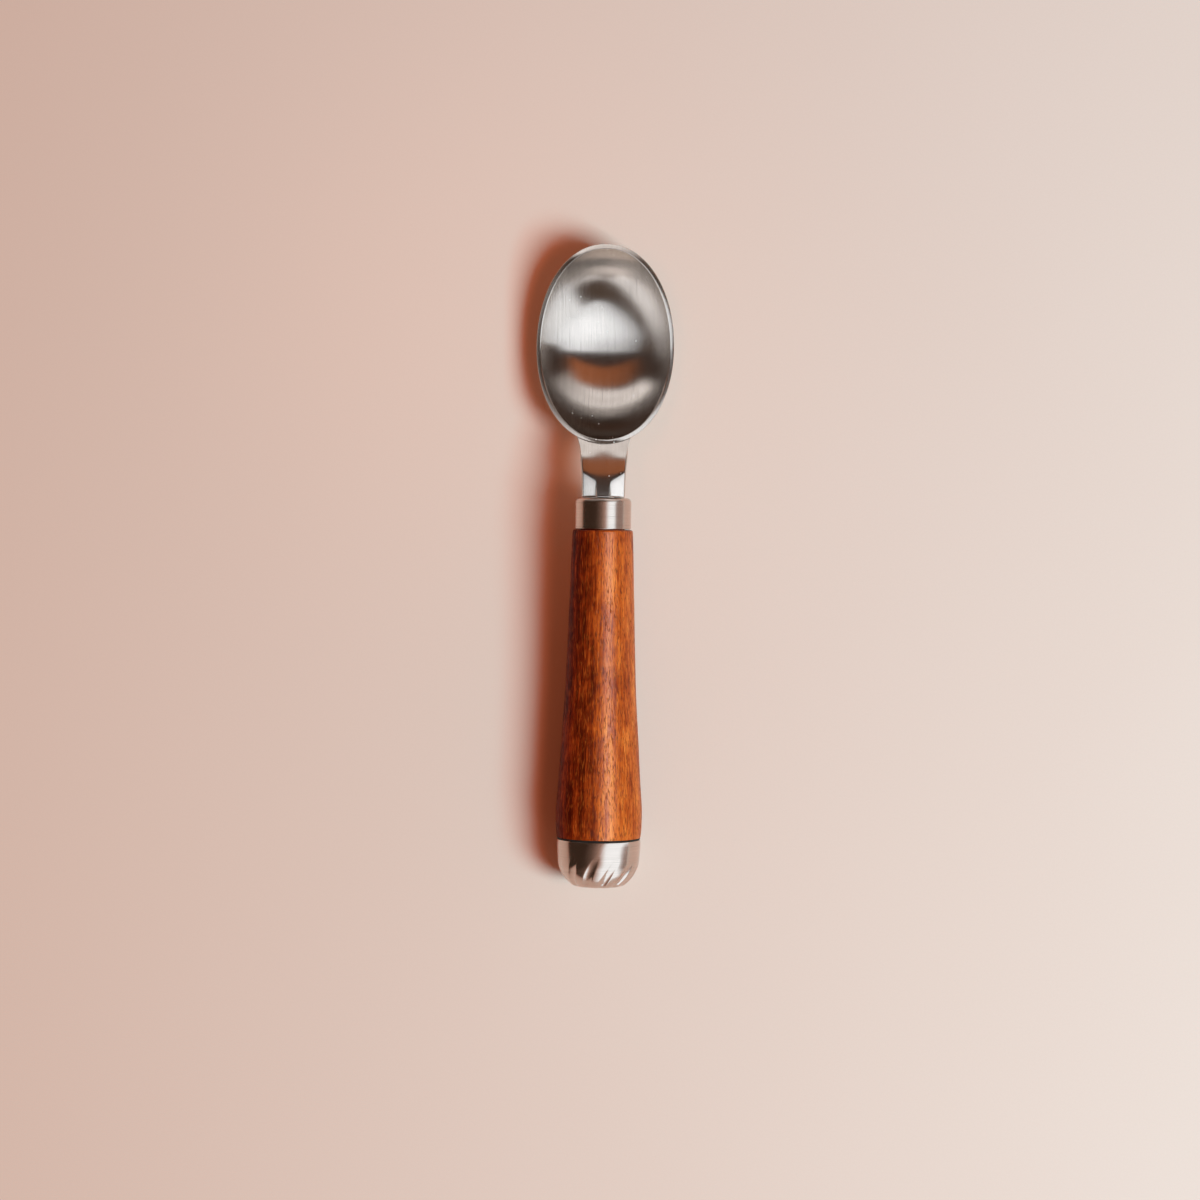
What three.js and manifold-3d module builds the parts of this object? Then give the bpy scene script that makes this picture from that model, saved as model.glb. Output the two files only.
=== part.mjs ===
// Solid scoop for dough and ice cream: a stainless steel oval bowl on a short neck, a steel ferrule, a turned hardwood grip and a fluted steel pommel, drawn together by a threaded rod.
// Millimetres, +Z up, +Y towards the tip of the bowl. The scoop lies at rest with the bowl open upwards: the bowl's belly and the pommel touch z = 0, and the origin is under the middle of its length.
import * as THREE from "three";
import { LoftGeometry } from "three/addons/geometries/LoftGeometry.js";
import { mergeVertices } from "three/addons/utils/BufferGeometryUtils.js";
import Module from "manifold-3d";

const wasm = await Module();
wasm.setup();

// ---- driving dimensions ----
const TILT = (4.0 * Math.PI) / 180; // the handle rises this much towards the bowl when the scoop lies on a table

// bowl
const BOWL_HALF_WIDTH = 21.46; // inner edge of the rim, across
const BOWL_HALF_LENGTH = 31.44; // inner edge of the rim, along
const BOWL_TIP_FULLNESS = 2.11; // exponent of the oval at the tip (2 is an ellipse)
const BOWL_REAR_FULLNESS = 2.04; // and at the neck
const BOWL_RADIUS_X = 31.29; // semi-axes of the ellipsoid that shapes the inside
const BOWL_RADIUS_Y = 35.09;
const BOWL_RADIUS_Z = 36.0;
const WALL_BOTTOM = 2.0;
const WALL_RIM = 1.8;
const LAND_DROP = 0.58; // fall of the rim's land for each millimetre outwards
const BELLY_FLAT = 0.14; // share of the oval that is worn flat underneath
const BOWL_CENTRE_Y = 60.61; // from the joint between ferrule and grip

// neck
const NECK_END_GAP = 0.15;
const NECK_SOCKET_DEPTH = 5.0;

// ferrule
const FERRULE_RADIUS = 9.17;
const FERRULE_LENGTH = 10.3;
const FERRULE_EDGE = 1.5; // rounding of the front edge
const FERRULE_BORE = 7.35;
const FERRULE_FRONT_WALL = 2.1;

// grip
const GRIP_LENGTH = 100.7;
const TENON_RADIUS = 7.2;
const TENON_LENGTH = 8.0;
const ROD_BORE = 3.45;
const NUT_POCKET_RADIUS = 8.2;
const NUT_POCKET_DEPTH = 9.0;

// rod and thread, M6 x 1 coarse
const THREAD_PITCH = 1.0;
const THREAD_MEAN = 2.72;
const THREAD_HALF_DEPTH = 0.28;
const THREAD_CLEARANCE = 0.3;
const ROD_SHANK = 2.9;
const ROD_NOSE = 2.0; // turned-down front end that sits in the neck
const ROD_END = -112.0;
const THREAD_START = -93.4;

// clamp stack in the end of the grip
const WASHER_RADIUS = 7.8;
const WASHER_THICK = 1.4;
const LOCK_WASHER_RADIUS = 5.6;
const LOCK_WASHER_THICK = 1.5;
const NUT_ACROSS_FLATS = 10.0;
const NUT_THICK = 5.0;

// gasket and pommel
const GASKET_THICK = 0.4;
const GASKET_RADIUS = 13.6;
const POMMEL_FRONT = -101.3;
const POMMEL_BORE_END = -112.8;
const POMMEL_END = -116.7;
const FLUTES = 12;
const FLUTE_DEPTH = 0.42;
const FLUTE_HALF_ANGLE = (8.6 * Math.PI) / 180; // at the end of the pommel, where a flute is widest
const FLUTE_TWIST = 0.038; // radians per millimetre of length
const FLUTE_PHASE = (8.7 * Math.PI) / 180; // middle of one flute at the front of the pommel, from the top towards +X
const FLUTE_START = -105.6;

const GAP = 0.1; // between parts that bear on each other

// ---- helpers ----
// Closed geometry to a solid, with its faces turned outwards.
function solid(geometry) {
  const g = new THREE.BufferGeometry();
  g.setAttribute("position", geometry.getAttribute("position").clone());
  if (geometry.index) g.setIndex(geometry.index.clone());
  const m = mergeVertices(g, 1e-4);
  const kept = [];
  for (let i = 0; i < m.index.count; i += 3) {
    const [a, b, c] = [m.index.getX(i), m.index.getX(i + 1), m.index.getX(i + 2)];
    if (a !== b && b !== c && c !== a) kept.push(a, b, c);
  }
  const p = m.getAttribute("position");
  let volume = 0;
  const va = new THREE.Vector3();
  const vb = new THREE.Vector3();
  const vc = new THREE.Vector3();
  for (let i = 0; i < kept.length; i += 3) {
    va.fromBufferAttribute(p, kept[i]);
    vb.fromBufferAttribute(p, kept[i + 1]);
    vc.fromBufferAttribute(p, kept[i + 2]);
    volume += va.dot(vb.cross(vc));
  }
  if (volume < 0)
    for (let i = 0; i < kept.length; i += 3)
      [kept[i + 1], kept[i + 2]] = [kept[i + 2], kept[i + 1]];
  return new wasm.Manifold(
    new wasm.Mesh({
      numProp: 3,
      vertProperties: new Float32Array(p.array),
      triVerts: new Uint32Array(kept),
    }),
  );
}

function toGeometry(manifold) {
  const mesh = manifold.getMesh();
  const n = mesh.numProp;
  const points = new Float32Array((mesh.vertProperties.length / n) * 3);
  for (let i = 0; i < points.length / 3; i++)
    for (let k = 0; k < 3; k++) points[3 * i + k] = mesh.vertProperties[n * i + k];
  const g = new THREE.BufferGeometry();
  g.setAttribute("position", new THREE.BufferAttribute(points, 3));
  g.setIndex(new THREE.BufferAttribute(new Uint32Array(mesh.triVerts), 1));
  g.computeVertexNormals();
  return g;
}

const smooth = (a, b, x) => {
  const t = Math.min(1, Math.max(0, (x - a) / (b - a)));
  return t * t * (3 - 2 * t);
};

// Values between given stations, with smooth slopes.
function curve(stations) {
  const pts = stations.map(([t, v]) => new THREE.Vector2(t, v));
  return (x) => {
    if (x <= pts[0].x) return pts[0].y;
    const last = pts.length - 1;
    if (x >= pts[last].x) return pts[last].y;
    let i = 0;
    while (x > pts[i + 1].x) i++;
    const slope = (k) => {
      const lo = Math.max(0, k - 1);
      const hi = Math.min(last, k + 1);
      return (pts[hi].y - pts[lo].y) / (pts[hi].x - pts[lo].x);
    };
    const h = pts[i + 1].x - pts[i].x;
    const t = (x - pts[i].x) / h;
    const t2 = t * t;
    const t3 = t2 * t;
    return (
      (2 * t3 - 3 * t2 + 1) * pts[i].y +
      (t3 - 2 * t2 + t) * h * slope(i) +
      (3 * t2 - 2 * t3) * pts[i + 1].y +
      (t3 - t2) * h * slope(i + 1)
    );
  };
}

// Ring profile [radius, position along the handle] turned about the handle's axis. It closes on itself, or starts and ends on the axis.
function turned(profile, segments) {
  const closed = profile[0][0] > 1e-6;
  const pts = profile.map(([r, u]) => new THREE.Vector2(r, u));
  if (closed) pts.push(pts[0].clone());
  return solid(new THREE.LatheGeometry(pts, segments));
}

// Plain round bar along the handle's axis, moved aside by x.
function bar(radius, from, to, segments, x = 0) {
  const g = new THREE.CylinderGeometry(radius, radius, to - from, segments);
  g.translate(x, (from + to) / 2, 0);
  return solid(g);
}

// Right-hand thread: rings whose radius waves once per pitch and turns with the helix.
function threadRings(mean, halfDepth, from, to) {
  const sides = 12;
  const steps = Math.round(((from - to) * 4) / THREAD_PITCH);
  const rings = [];
  for (let i = 0; i <= steps; i++) {
    const u = from - ((from - to) * i) / steps;
    const ring = [];
    for (let j = 0; j < sides; j++) {
      const phi = (j / sides) * 2 * Math.PI;
      const r = mean + halfDepth * Math.cos(2 * Math.PI * (u / THREAD_PITCH) - phi);
      ring.push(new THREE.Vector3(r * Math.sin(phi), u, r * Math.cos(phi)));
    }
    rings.push(ring);
  }
  return rings;
}

function roundRing(radius, u, sides) {
  const ring = [];
  for (let j = 0; j < sides; j++) {
    const phi = (j / sides) * 2 * Math.PI;
    ring.push(new THREE.Vector3(radius * Math.sin(phi), u, radius * Math.cos(phi)));
  }
  return ring;
}

// Loft through closed rings, with both ends drawn in to a flat cap.
function capped(rings) {
  const pole = (ring) => {
    const centre = new THREE.Vector3();
    for (const p of ring) centre.addScaledVector(p, 1 / ring.length);
    return ring.map(() => centre.clone());
  };
  return solid(new LoftGeometry([pole(rings[0]), ...rings, pole(rings[rings.length - 1])]));
}

// ---- profiles measured along the handle: 0 at the joint between ferrule and grip, negative towards the pommel ----
const gripRadius = curve([
  [-100.7, 13.72],
  [-98.0, 13.98],
  [-93.5, 14.1],
  [-91.0, 14.05],
  [-84.9, 13.6],
  [-78.4, 13.15],
  [-71.9, 12.8],
  [-65.3, 12.37],
  [-58.8, 11.93],
  [-52.2, 11.57],
  [-45.7, 11.33],
  [-39.1, 11.08],
  [-32.6, 10.87],
  [-26.0, 10.7],
  [-19.5, 10.45],
  [-13.0, 10.28],
  [-6.5, 10.08],
  [-1.2, 9.86],
  [0, 9.7],
]);

const pommelRadius = curve([
  [-116.7, 7.0],
  [-116.2, 8.2],
  [-115.3, 9.75],
  [-114.1, 11.05],
  [-112.7, 12.0],
  [-111.2, 12.7],
  [-109.5, 13.2],
  [-107.0, 13.52],
  [-104.3, 13.72],
  [-102.4, 13.76],
  [-101.3, 13.66],
]);

// Height of the handle's axis over the table at the joint, so that the pommel just touches z = 0.
let axisHeight = 0;
for (let u = POMMEL_END; u <= 0; u += 0.1) {
  const r = u < POMMEL_FRONT ? pommelRadius(u) : u < -GRIP_LENGTH ? 0 : gripRadius(u);
  axisHeight = Math.max(axisHeight, r * Math.cos(TILT) - u * Math.sin(TILT));
}

// Table coordinates (y from the joint, z over the table) to the handle's own coordinates.
function toHandle(x, y, z) {
  const dz = z - axisHeight;
  return new THREE.Vector3(
    x,
    y * Math.cos(TILT) + dz * Math.sin(TILT),
    -y * Math.sin(TILT) + dz * Math.cos(TILT),
  );
}

// ---- scoop head ----
function ovalPoint(angle, share) {
  const c = Math.cos(angle);
  const s = Math.sin(angle);
  const n = s < 0 ? BOWL_REAR_FULLNESS : BOWL_TIP_FULLNESS;
  return [
    share * BOWL_HALF_WIDTH * Math.sign(c) * Math.pow(Math.abs(c), 2 / n),
    share * BOWL_HALF_LENGTH * Math.sign(s) * Math.pow(Math.abs(s), 2 / n),
  ];
}

function insideHeight(x, y) {
  const q = (x / BOWL_RADIUS_X) ** 2 + (y / BOWL_RADIUS_Y) ** 2;
  return WALL_BOTTOM + BOWL_RADIUS_Z * (1 - Math.sqrt(Math.max(0.01, 1 - q)));
}

function outsidePoint(angle, share) {
  const [x, y] = ovalPoint(angle, share);
  const e = 1e-3;
  const gx = (insideHeight(x + e, y) - insideHeight(x - e, y)) / (2 * e);
  const gy = (insideHeight(x, y + e) - insideHeight(x, y - e)) / (2 * e);
  const normal = new THREE.Vector3(gx, gy, -1).normalize();
  const wall = WALL_BOTTOM + (WALL_RIM - WALL_BOTTOM) * share * share;
  return new THREE.Vector3(x, y, insideHeight(x, y)).addScaledVector(normal, wall);
}

const BOWL_SIDES = 40;
const angles = Array.from({ length: BOWL_SIDES }, (_, i) => ((i + 0.5) / BOWL_SIDES) * 2 * Math.PI);
const inBowl = (p) => toHandle(p.x, p.y + BOWL_CENTRE_Y, p.z);

const insideRing = (share, lift = 0) =>
  angles.map((a) => {
    const [x, y] = ovalPoint(a, share);
    return inBowl(new THREE.Vector3(x, y, insideHeight(x, y) + lift));
  });

const bellyHeight = Math.min(...angles.map((a) => outsidePoint(a, BELLY_FLAT).z));
const outsideRing = (share) =>
  angles.map((a) => {
    const p = outsidePoint(a, share);
    p.z = share <= BELLY_FLAT ? 0 : Math.max(0, p.z - bellyHeight * (1 - share));
    return inBowl(p);
  });

// Outer edge of the rim's land.
const landRing = angles.map((a) => {
  const [x, y] = ovalPoint(a, 1);
  const p = outsidePoint(a, 1);
  p.z = insideHeight(x, y) - LAND_DROP * Math.hypot(p.x - x, p.y - y);
  return inBowl(p);
});

const shares = [0.12, 0.3, 0.48, 0.64, 0.78, 0.9, 1];
const bowl = capped([
  ...shares.map((s) => insideRing(s)),
  landRing,
  ...[0.95, 0.88, 0.77, 0.63, 0.48, 0.3, BELLY_FLAT].map((s) => outsideRing(s)),
]);

// The free space inside the bowl, up past the rim.
const hollow = capped([
  ...shares.map((s) => insideRing(s)),
  insideRing(1, 4),
  insideRing(0.12, 30),
]);

// Neck sections: distance from the joint, height of the top and of the underside over the table, half width, squareness of the underside.
const neckStations = [
  [10.45, 26.0, 17.75, 7.0, 4],
  [12.4, 25.84, 17.65, 7.05, 4],
  [14.6, 25.61, 17.5, 7.1, 3.8],
  [17.2, 25.22, 17.2, 7.2, 3.4],
  [19.6, 24.66, 16.85, 7.35, 3],
  [21.8, 23.95, 16.35, 7.55, 2.8],
  [24.0, 23.06, 15.7, 7.8, 2.6],
  [26.2, 21.98, 14.9, 8.25, 2.4],
  [28.2, 20.9, 13.95, 8.95, 2.2],
  [30.6, 19.6, 12.5, 10.4, 2],
  [33.4, 18.0, 10.6, 12.2, 2],
];
// Two flats cut into the top beside its middle rib: they fall towards the ferrule and outwards.
const padDrop = (x, y) => {
  const d = 0.19 * (x - 1.9) - 0.24 * (y - 14.8);
  return 0.5 * (d + Math.sqrt(d * d + 0.004)) * smooth(2.05, 2.5, x);
};
const NECK_SIDES = 28;
const neck = capped(
  neckStations.map(([y, top, under, half, square], k) => {
    const hi = toHandle(0, y, top);
    const lo = toHandle(0, y, under);
    if (k === 0) hi.y = lo.y = FERRULE_LENGTH + NECK_END_GAP;
    const ring = [];
    for (let j = 0; j < NECK_SIDES; j++) {
      const b = ((j + 0.5) / NECK_SIDES) * 2 * Math.PI;
      const n = Math.sin(b) > 0 ? 4.5 : square;
      const x = half * Math.sign(Math.cos(b)) * Math.pow(Math.abs(Math.cos(b)), 2 / n);
      const t = Math.sign(Math.sin(b)) * Math.pow(Math.abs(Math.sin(b)), 2 / n);
      const p = lo.clone().lerp(hi, (t + 1) / 2);
      p.x = x;
      if (t > 0) p.z -= t * padDrop(Math.abs(x), y);
      ring.push(p);
    }
    return ring;
  }),
);

const DOWEL_X = 4.6;
const headSolid = bowl
  .add(neck.subtract(hollow))
  .subtract(bar(ROD_NOSE + 0.15, FERRULE_LENGTH - 1, FERRULE_LENGTH + NECK_END_GAP + NECK_SOCKET_DEPTH, 12))
  .subtract(bar(1.25, FERRULE_LENGTH - 1, 14.3, 10, DOWEL_X));

// ---- ferrule ----
const RING = 36;
const ferruleProfile = [
  [FERRULE_BORE, 0.1],
  [FERRULE_RADIUS - 0.25, 0.1],
  [FERRULE_RADIUS, 0.35],
  [FERRULE_RADIUS, FERRULE_LENGTH - FERRULE_EDGE],
];
for (let i = 1; i <= 4; i++) {
  const a = (i / 4) * (Math.PI / 2);
  ferruleProfile.push([
    FERRULE_RADIUS - FERRULE_EDGE * (1 - Math.cos(a)),
    FERRULE_LENGTH - FERRULE_EDGE * (1 - Math.sin(a)),
  ]);
}
const SEAL_SEAT = 3.45;
const SEAL_DEPTH = 1.0;
ferruleProfile.push(
  [SEAL_SEAT, FERRULE_LENGTH],
  [SEAL_SEAT, FERRULE_LENGTH - SEAL_DEPTH - GAP],
  [ROD_NOSE + 0.3, FERRULE_LENGTH - SEAL_DEPTH - GAP],
  [ROD_NOSE + 0.3, FERRULE_LENGTH - FERRULE_FRONT_WALL],
  [FERRULE_BORE, FERRULE_LENGTH - FERRULE_FRONT_WALL],
);
const ferruleSolid = turned(ferruleProfile, RING).subtract(
  bar(1.25, FERRULE_LENGTH - FERRULE_FRONT_WALL - 1, FERRULE_LENGTH + 1, 10, DOWEL_X),
);

// ---- grip ----
const gripProfile = [
  [ROD_BORE, TENON_LENGTH],
  [TENON_RADIUS - 0.3, TENON_LENGTH],
  [TENON_RADIUS, TENON_LENGTH - 0.3],
  [TENON_RADIUS, -0.15],
  [9.4, -0.15],
];
for (const u of [-0.5, -1.4, -6.5, -14, -22, -30, -38, -46, -53, -60, -67, -74, -81, -87, -91, -94, -97, -99.4, -100.3])
  gripProfile.push([gripRadius(u), u]);
gripProfile.push(
  [gripRadius(-GRIP_LENGTH) - 0.35, -GRIP_LENGTH],
  [NUT_POCKET_RADIUS, -GRIP_LENGTH],
  [NUT_POCKET_RADIUS, -GRIP_LENGTH + NUT_POCKET_DEPTH],
  [ROD_BORE, -GRIP_LENGTH + NUT_POCKET_DEPTH],
);
const gripSolid = turned(gripProfile, RING).subtract(bar(1.25, 3.2, TENON_LENGTH + 1, 10, DOWEL_X));

// ---- rod ----
const rodRings = [
  roundRing(ROD_NOSE - 0.3, FERRULE_LENGTH + NECK_SOCKET_DEPTH - 0.3, 12),
  roundRing(ROD_NOSE, FERRULE_LENGTH + NECK_SOCKET_DEPTH - 0.7, 12),
  roundRing(ROD_NOSE, 7.4, 12),
  roundRing(ROD_SHANK, 6.9, 12),
  roundRing(ROD_SHANK, THREAD_START + 1, 12),
  roundRing(2.5, THREAD_START + 0.6, 12),
  ...threadRings(THREAD_MEAN, THREAD_HALF_DEPTH, THREAD_START, ROD_END + 0.5),
  roundRing(2.2, ROD_END, 12),
];
const rodSolid = capped(rodRings);

// ---- seal, dowel, clamp stack ----
const sealSolid = turned(
  [
    [ROD_NOSE + 0.2, FERRULE_LENGTH - SEAL_DEPTH],
    [SEAL_SEAT - 0.15, FERRULE_LENGTH - SEAL_DEPTH],
    [SEAL_SEAT - 0.15, FERRULE_LENGTH],
    [ROD_NOSE + 0.2, FERRULE_LENGTH],
  ],
  20,
);
const dowelSolid = bar(1.1, 3.4, 14.1, 10, DOWEL_X);

const pocketFloor = -GRIP_LENGTH + NUT_POCKET_DEPTH;
const washerTop = pocketFloor - GAP;
const lockTop = washerTop - WASHER_THICK - GAP;
const nutTop = lockTop - LOCK_WASHER_THICK - GAP;
const washerSolid = turned(
  [
    [3.25, washerTop],
    [WASHER_RADIUS, washerTop],
    [WASHER_RADIUS, washerTop - WASHER_THICK],
    [3.25, washerTop - WASHER_THICK],
  ],
  28,
);
const split = new THREE.BoxGeometry(0.7, 6, 4);
split.rotateZ(0.5);
split.translate(0, lockTop - LOCK_WASHER_THICK / 2, 4.6);
const lockSolid = turned(
  [
    [3.25, lockTop],
    [LOCK_WASHER_RADIUS, lockTop],
    [LOCK_WASHER_RADIUS, lockTop - LOCK_WASHER_THICK],
    [3.25, lockTop - LOCK_WASHER_THICK],
  ],
  24,
).subtract(solid(split));

const hexBlank = new THREE.CylinderGeometry(
  NUT_ACROSS_FLATS / Math.sqrt(3),
  NUT_ACROSS_FLATS / Math.sqrt(3),
  NUT_THICK,
  6,
);
hexBlank.translate(0, nutTop - NUT_THICK / 2, 0);
const nutChamfer = turned(
  [
    [0, nutTop + 0.01],
    [4.9, nutTop + 0.01],
    [6.2, nutTop - 0.75],
    [6.2, nutTop - NUT_THICK + 0.75],
    [4.9, nutTop - NUT_THICK - 0.01],
    [0, nutTop - NUT_THICK - 0.01],
  ],
  18,
);
const tap = (from, to) =>
  capped(threadRings(THREAD_MEAN + THREAD_CLEARANCE, THREAD_HALF_DEPTH, from, to));
const nutSolid = solid(hexBlank)
  .intersect(nutChamfer)
  .subtract(tap(nutTop + 1, nutTop - NUT_THICK - 1));

// ---- gasket and pommel ----
const gasketTop = -GRIP_LENGTH - GAP;
const gasketSolid = turned(
  [
    [3.5, gasketTop],
    [GASKET_RADIUS, gasketTop],
    [GASKET_RADIUS, gasketTop - GASKET_THICK],
    [3.5, gasketTop - GASKET_THICK],
  ],
  RING,
);

// Ring of the pommel: each flute is a shallow hollow with sharp edges, and a land lies between it and the next.
const pommelRing = (u) => {
  const ring = [];
  const run = Math.min(1, Math.max(0, (FLUTE_START - u) / (FLUTE_START + 114.5)));
  const half = FLUTE_HALF_ANGLE * (0.35 + 0.65 * Math.pow(run, 0.6));
  const depth = FLUTE_DEPTH * smooth(0, 1, run) * (1 - 0.75 * smooth(-114.8, -116.7, u));
  const lead = FLUTE_PHASE + FLUTE_TWIST * (u - POMMEL_FRONT);
  for (let k = 0; k < FLUTES; k++) {
    const middle = (k / FLUTES) * 2 * Math.PI + lead;
    for (const share of [-1, -0.66, -0.33, 0, 0.33, 0.66, 1]) {
      const r = pommelRadius(u) - depth * (1 - share * share);
      const a = middle + share * half;
      ring.push(new THREE.Vector3(r * Math.sin(a), u, r * Math.cos(a)));
    }
    const a = middle + Math.PI / FLUTES;
    ring.push(new THREE.Vector3(pommelRadius(u) * Math.sin(a), u, pommelRadius(u) * Math.cos(a)));
  }
  return ring;
};
const pommelSolid = capped(
  [-101.3, -101.9, -103.2, -105.2, -107.2, -109.2, -111, -112.6, -114, -115.2, -116.1, -116.7].map(pommelRing),
).subtract(tap(POMMEL_FRONT + 1, POMMEL_BORE_END));

// ---- scene graph ----
const steel = (roughness, colour = 0xb9b3ad) =>
  new THREE.MeshStandardMaterial({ color: colour, roughness, metalness: 1 });
const rubber = () => new THREE.MeshStandardMaterial({ color: 0x17120f, roughness: 0.7, metalness: 0 });

const pieces = [
  ["scoop_head", headSolid, steel(0.28)],
  ["ferrule", ferruleSolid, steel(0.3)],
  ["neck_seal", sealSolid, rubber()],
  ["index_dowel", dowelSolid, steel(0.35)],
  ["grip", gripSolid, new THREE.MeshStandardMaterial({ color: 0x8a3510, roughness: 0.42, metalness: 0 })],
  ["tie_rod", rodSolid, steel(0.4)],
  ["flat_washer", washerSolid, steel(0.45)],
  ["lock_washer", lockSolid, steel(0.45)],
  ["clamp_nut", nutSolid, steel(0.4)],
  ["pommel_gasket", gasketSolid, rubber()],
  ["pommel", pommelSolid, steel(0.3)],
];

const handle = new THREE.Group();
handle.rotation.x = TILT;
for (const [name, body, material] of pieces) {
  const mesh = new THREE.Mesh(toGeometry(body), material);
  mesh.name = name;
  handle.add(mesh);
}

const scoop = new THREE.Group();
scoop.add(handle);
const box = new THREE.Box3().setFromObject(scoop, true);
handle.position.set(0, -(box.min.y + box.max.y) / 2, -box.min.z);
scoop.updateMatrixWorld(true);

export default scoop;
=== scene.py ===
import math

import bmesh
import bpy
import numpy as np
from mathutils import Matrix, Vector


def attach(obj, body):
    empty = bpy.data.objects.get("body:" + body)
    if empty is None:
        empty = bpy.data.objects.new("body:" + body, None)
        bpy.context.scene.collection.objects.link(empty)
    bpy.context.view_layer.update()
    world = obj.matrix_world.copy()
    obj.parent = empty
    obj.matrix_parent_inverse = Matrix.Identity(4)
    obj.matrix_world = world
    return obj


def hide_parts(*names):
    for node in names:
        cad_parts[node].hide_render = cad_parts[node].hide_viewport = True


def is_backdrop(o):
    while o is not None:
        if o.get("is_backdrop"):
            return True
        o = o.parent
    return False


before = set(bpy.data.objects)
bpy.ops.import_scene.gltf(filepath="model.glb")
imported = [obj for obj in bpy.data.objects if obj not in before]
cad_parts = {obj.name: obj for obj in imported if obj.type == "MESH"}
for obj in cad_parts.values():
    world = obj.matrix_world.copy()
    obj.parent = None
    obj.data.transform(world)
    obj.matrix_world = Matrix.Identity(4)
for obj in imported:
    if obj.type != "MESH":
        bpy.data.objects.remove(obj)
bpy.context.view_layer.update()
scene = bpy.context.scene

# ---------------------------------------------------------------- dimensions
TILT = math.radians(4.0)
COS, SIN, TAN = math.cos(TILT), math.sin(TILT), math.tan(TILT)
JOINT_Y, JOINT_Z = 11.6649, 20.973  # joint between ferrule and grip

BOWL_HALF_WIDTH = 21.46
BOWL_HALF_LENGTH = 31.44
BOWL_TIP_FULLNESS = 2.11
BOWL_REAR_FULLNESS = 2.04
BOWL_RADIUS_X = 31.29
BOWL_RADIUS_Y = 35.09
BOWL_RADIUS_Z = 36.0
WALL_BOTTOM = 2.0
WALL_RIM = 1.8
LAND_DROP = 0.58
BOWL_CENTRE_Y = 60.61

NECK_END = 10.45
SOCKET_RADIUS = 2.15
SOCKET_DEPTH = 5.0

FERRULE_RADIUS = 9.17
FERRULE_LENGTH = 10.3
FERRULE_EDGE = 1.5
FERRULE_BORE = 7.35
FERRULE_FRONT_WALL = 2.1
SEAL_SEAT = 3.45

GRIP_LENGTH = 100.7
TENON_RADIUS = 7.2
TENON_LENGTH = 8.0
ROD_BORE = 3.45
NUT_POCKET_RADIUS = 8.2
NUT_POCKET_DEPTH = 9.0

PITCH = 1.0
THREAD_MEAN = 2.72
THREAD_HALF_DEPTH = 0.28
THREAD_CLEARANCE = 0.3
ROD_SHANK = 2.9
ROD_NOSE = 2.0
ROD_END = -112.0
THREAD_START = -93.4

GASKET_THICK = 0.4
GASKET_RADIUS = 13.6
POMMEL_FRONT = -101.3
POMMEL_BORE_END = -112.8
POMMEL_END = -116.7
FLUTES = 12
FLUTE_DEPTH = 0.60
FLUTE_HALF_ANGLE = math.radians(8.6)
FLUTE_TWIST = 0.038
FLUTE_PHASE = math.radians(8.7)
FLUTE_START = -105.6


# ---------------------------------------------------------------- helpers
def smooth(a, b, x):
    t = min(1.0, max(0.0, (x - a) / (b - a)))
    return t * t * (3 - 2 * t)


def curve(stations):
    """Values between stations with smooth slopes."""

    def at(x):
        if x <= stations[0][0]:
            return stations[0][1]
        if x >= stations[-1][0]:
            return stations[-1][1]
        last = len(stations) - 1
        i = 0
        while x > stations[i + 1][0]:
            i += 1

        def slope(k):
            lo, hi = stations[max(0, k - 1)], stations[min(last, k + 1)]
            return (hi[1] - lo[1]) / (hi[0] - lo[0])

        h = stations[i + 1][0] - stations[i][0]
        t = (x - stations[i][0]) / h
        return (
            (2 * t**3 - 3 * t**2 + 1) * stations[i][1]
            + (t**3 - 2 * t**2 + t) * h * slope(i)
            + (3 * t**2 - 2 * t**3) * stations[i + 1][1]
            + (t**3 - t**2) * h * slope(i + 1)
        )

    return at


def table_point(p):
    """x, y from the joint and height over the table, to the scene."""
    return (p[0] * 1e-3, (p[1] + JOINT_Y) * 1e-3, p[2] * 1e-3)


def handle_point(p):
    """x, u along the handle and w up from its axis, to the scene."""
    x, u, w = p
    return (
        x * 1e-3,
        (JOINT_Y + u * COS - w * SIN) * 1e-3,
        (JOINT_Z + u * SIN + w * COS) * 1e-3,
    )


def piece(name, points, faces, material, body, replaces, sharp=None):
    """A finished mesh that stands for CAD nodes and rides on their body."""
    me = bpy.data.meshes.new(name)
    me.from_pydata(points, [], faces)
    bm = bmesh.new()
    bm.from_mesh(me)
    bmesh.ops.recalc_face_normals(bm, faces=bm.faces)
    bm.to_mesh(me)
    bm.free()
    me.polygons.foreach_set("use_smooth", [True] * len(me.polygons))
    if sharp:
        me.set_sharp_from_angle(angle=math.radians(sharp))
    me.update()
    me.materials.append(material)
    ob = bpy.data.objects.new(name, me)
    scene.collection.objects.link(ob)
    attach(ob, body)
    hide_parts(*replaces)
    return ob


class Builder:
    """Collects points and faces of one closed mesh."""

    def __init__(self, to_scene):
        self.points, self.faces, self.to_scene = [], [], to_scene

    def add(self, p):
        self.points.append(self.to_scene(p))
        return len(self.points) - 1

    def ring(self, pts):
        return [self.add(p) for p in pts]

    def bridge(self, a, b, closed=True):
        n = len(a)
        for i in range(n if closed else n - 1):
            j = (i + 1) % n
            self.faces.append((a[i], a[j], b[j], b[i]))

    def cap(self, ring, centre):
        c = self.add(centre)
        n = len(ring)
        for i in range(n):
            self.faces.append((ring[i], ring[(i + 1) % n], c))


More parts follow.
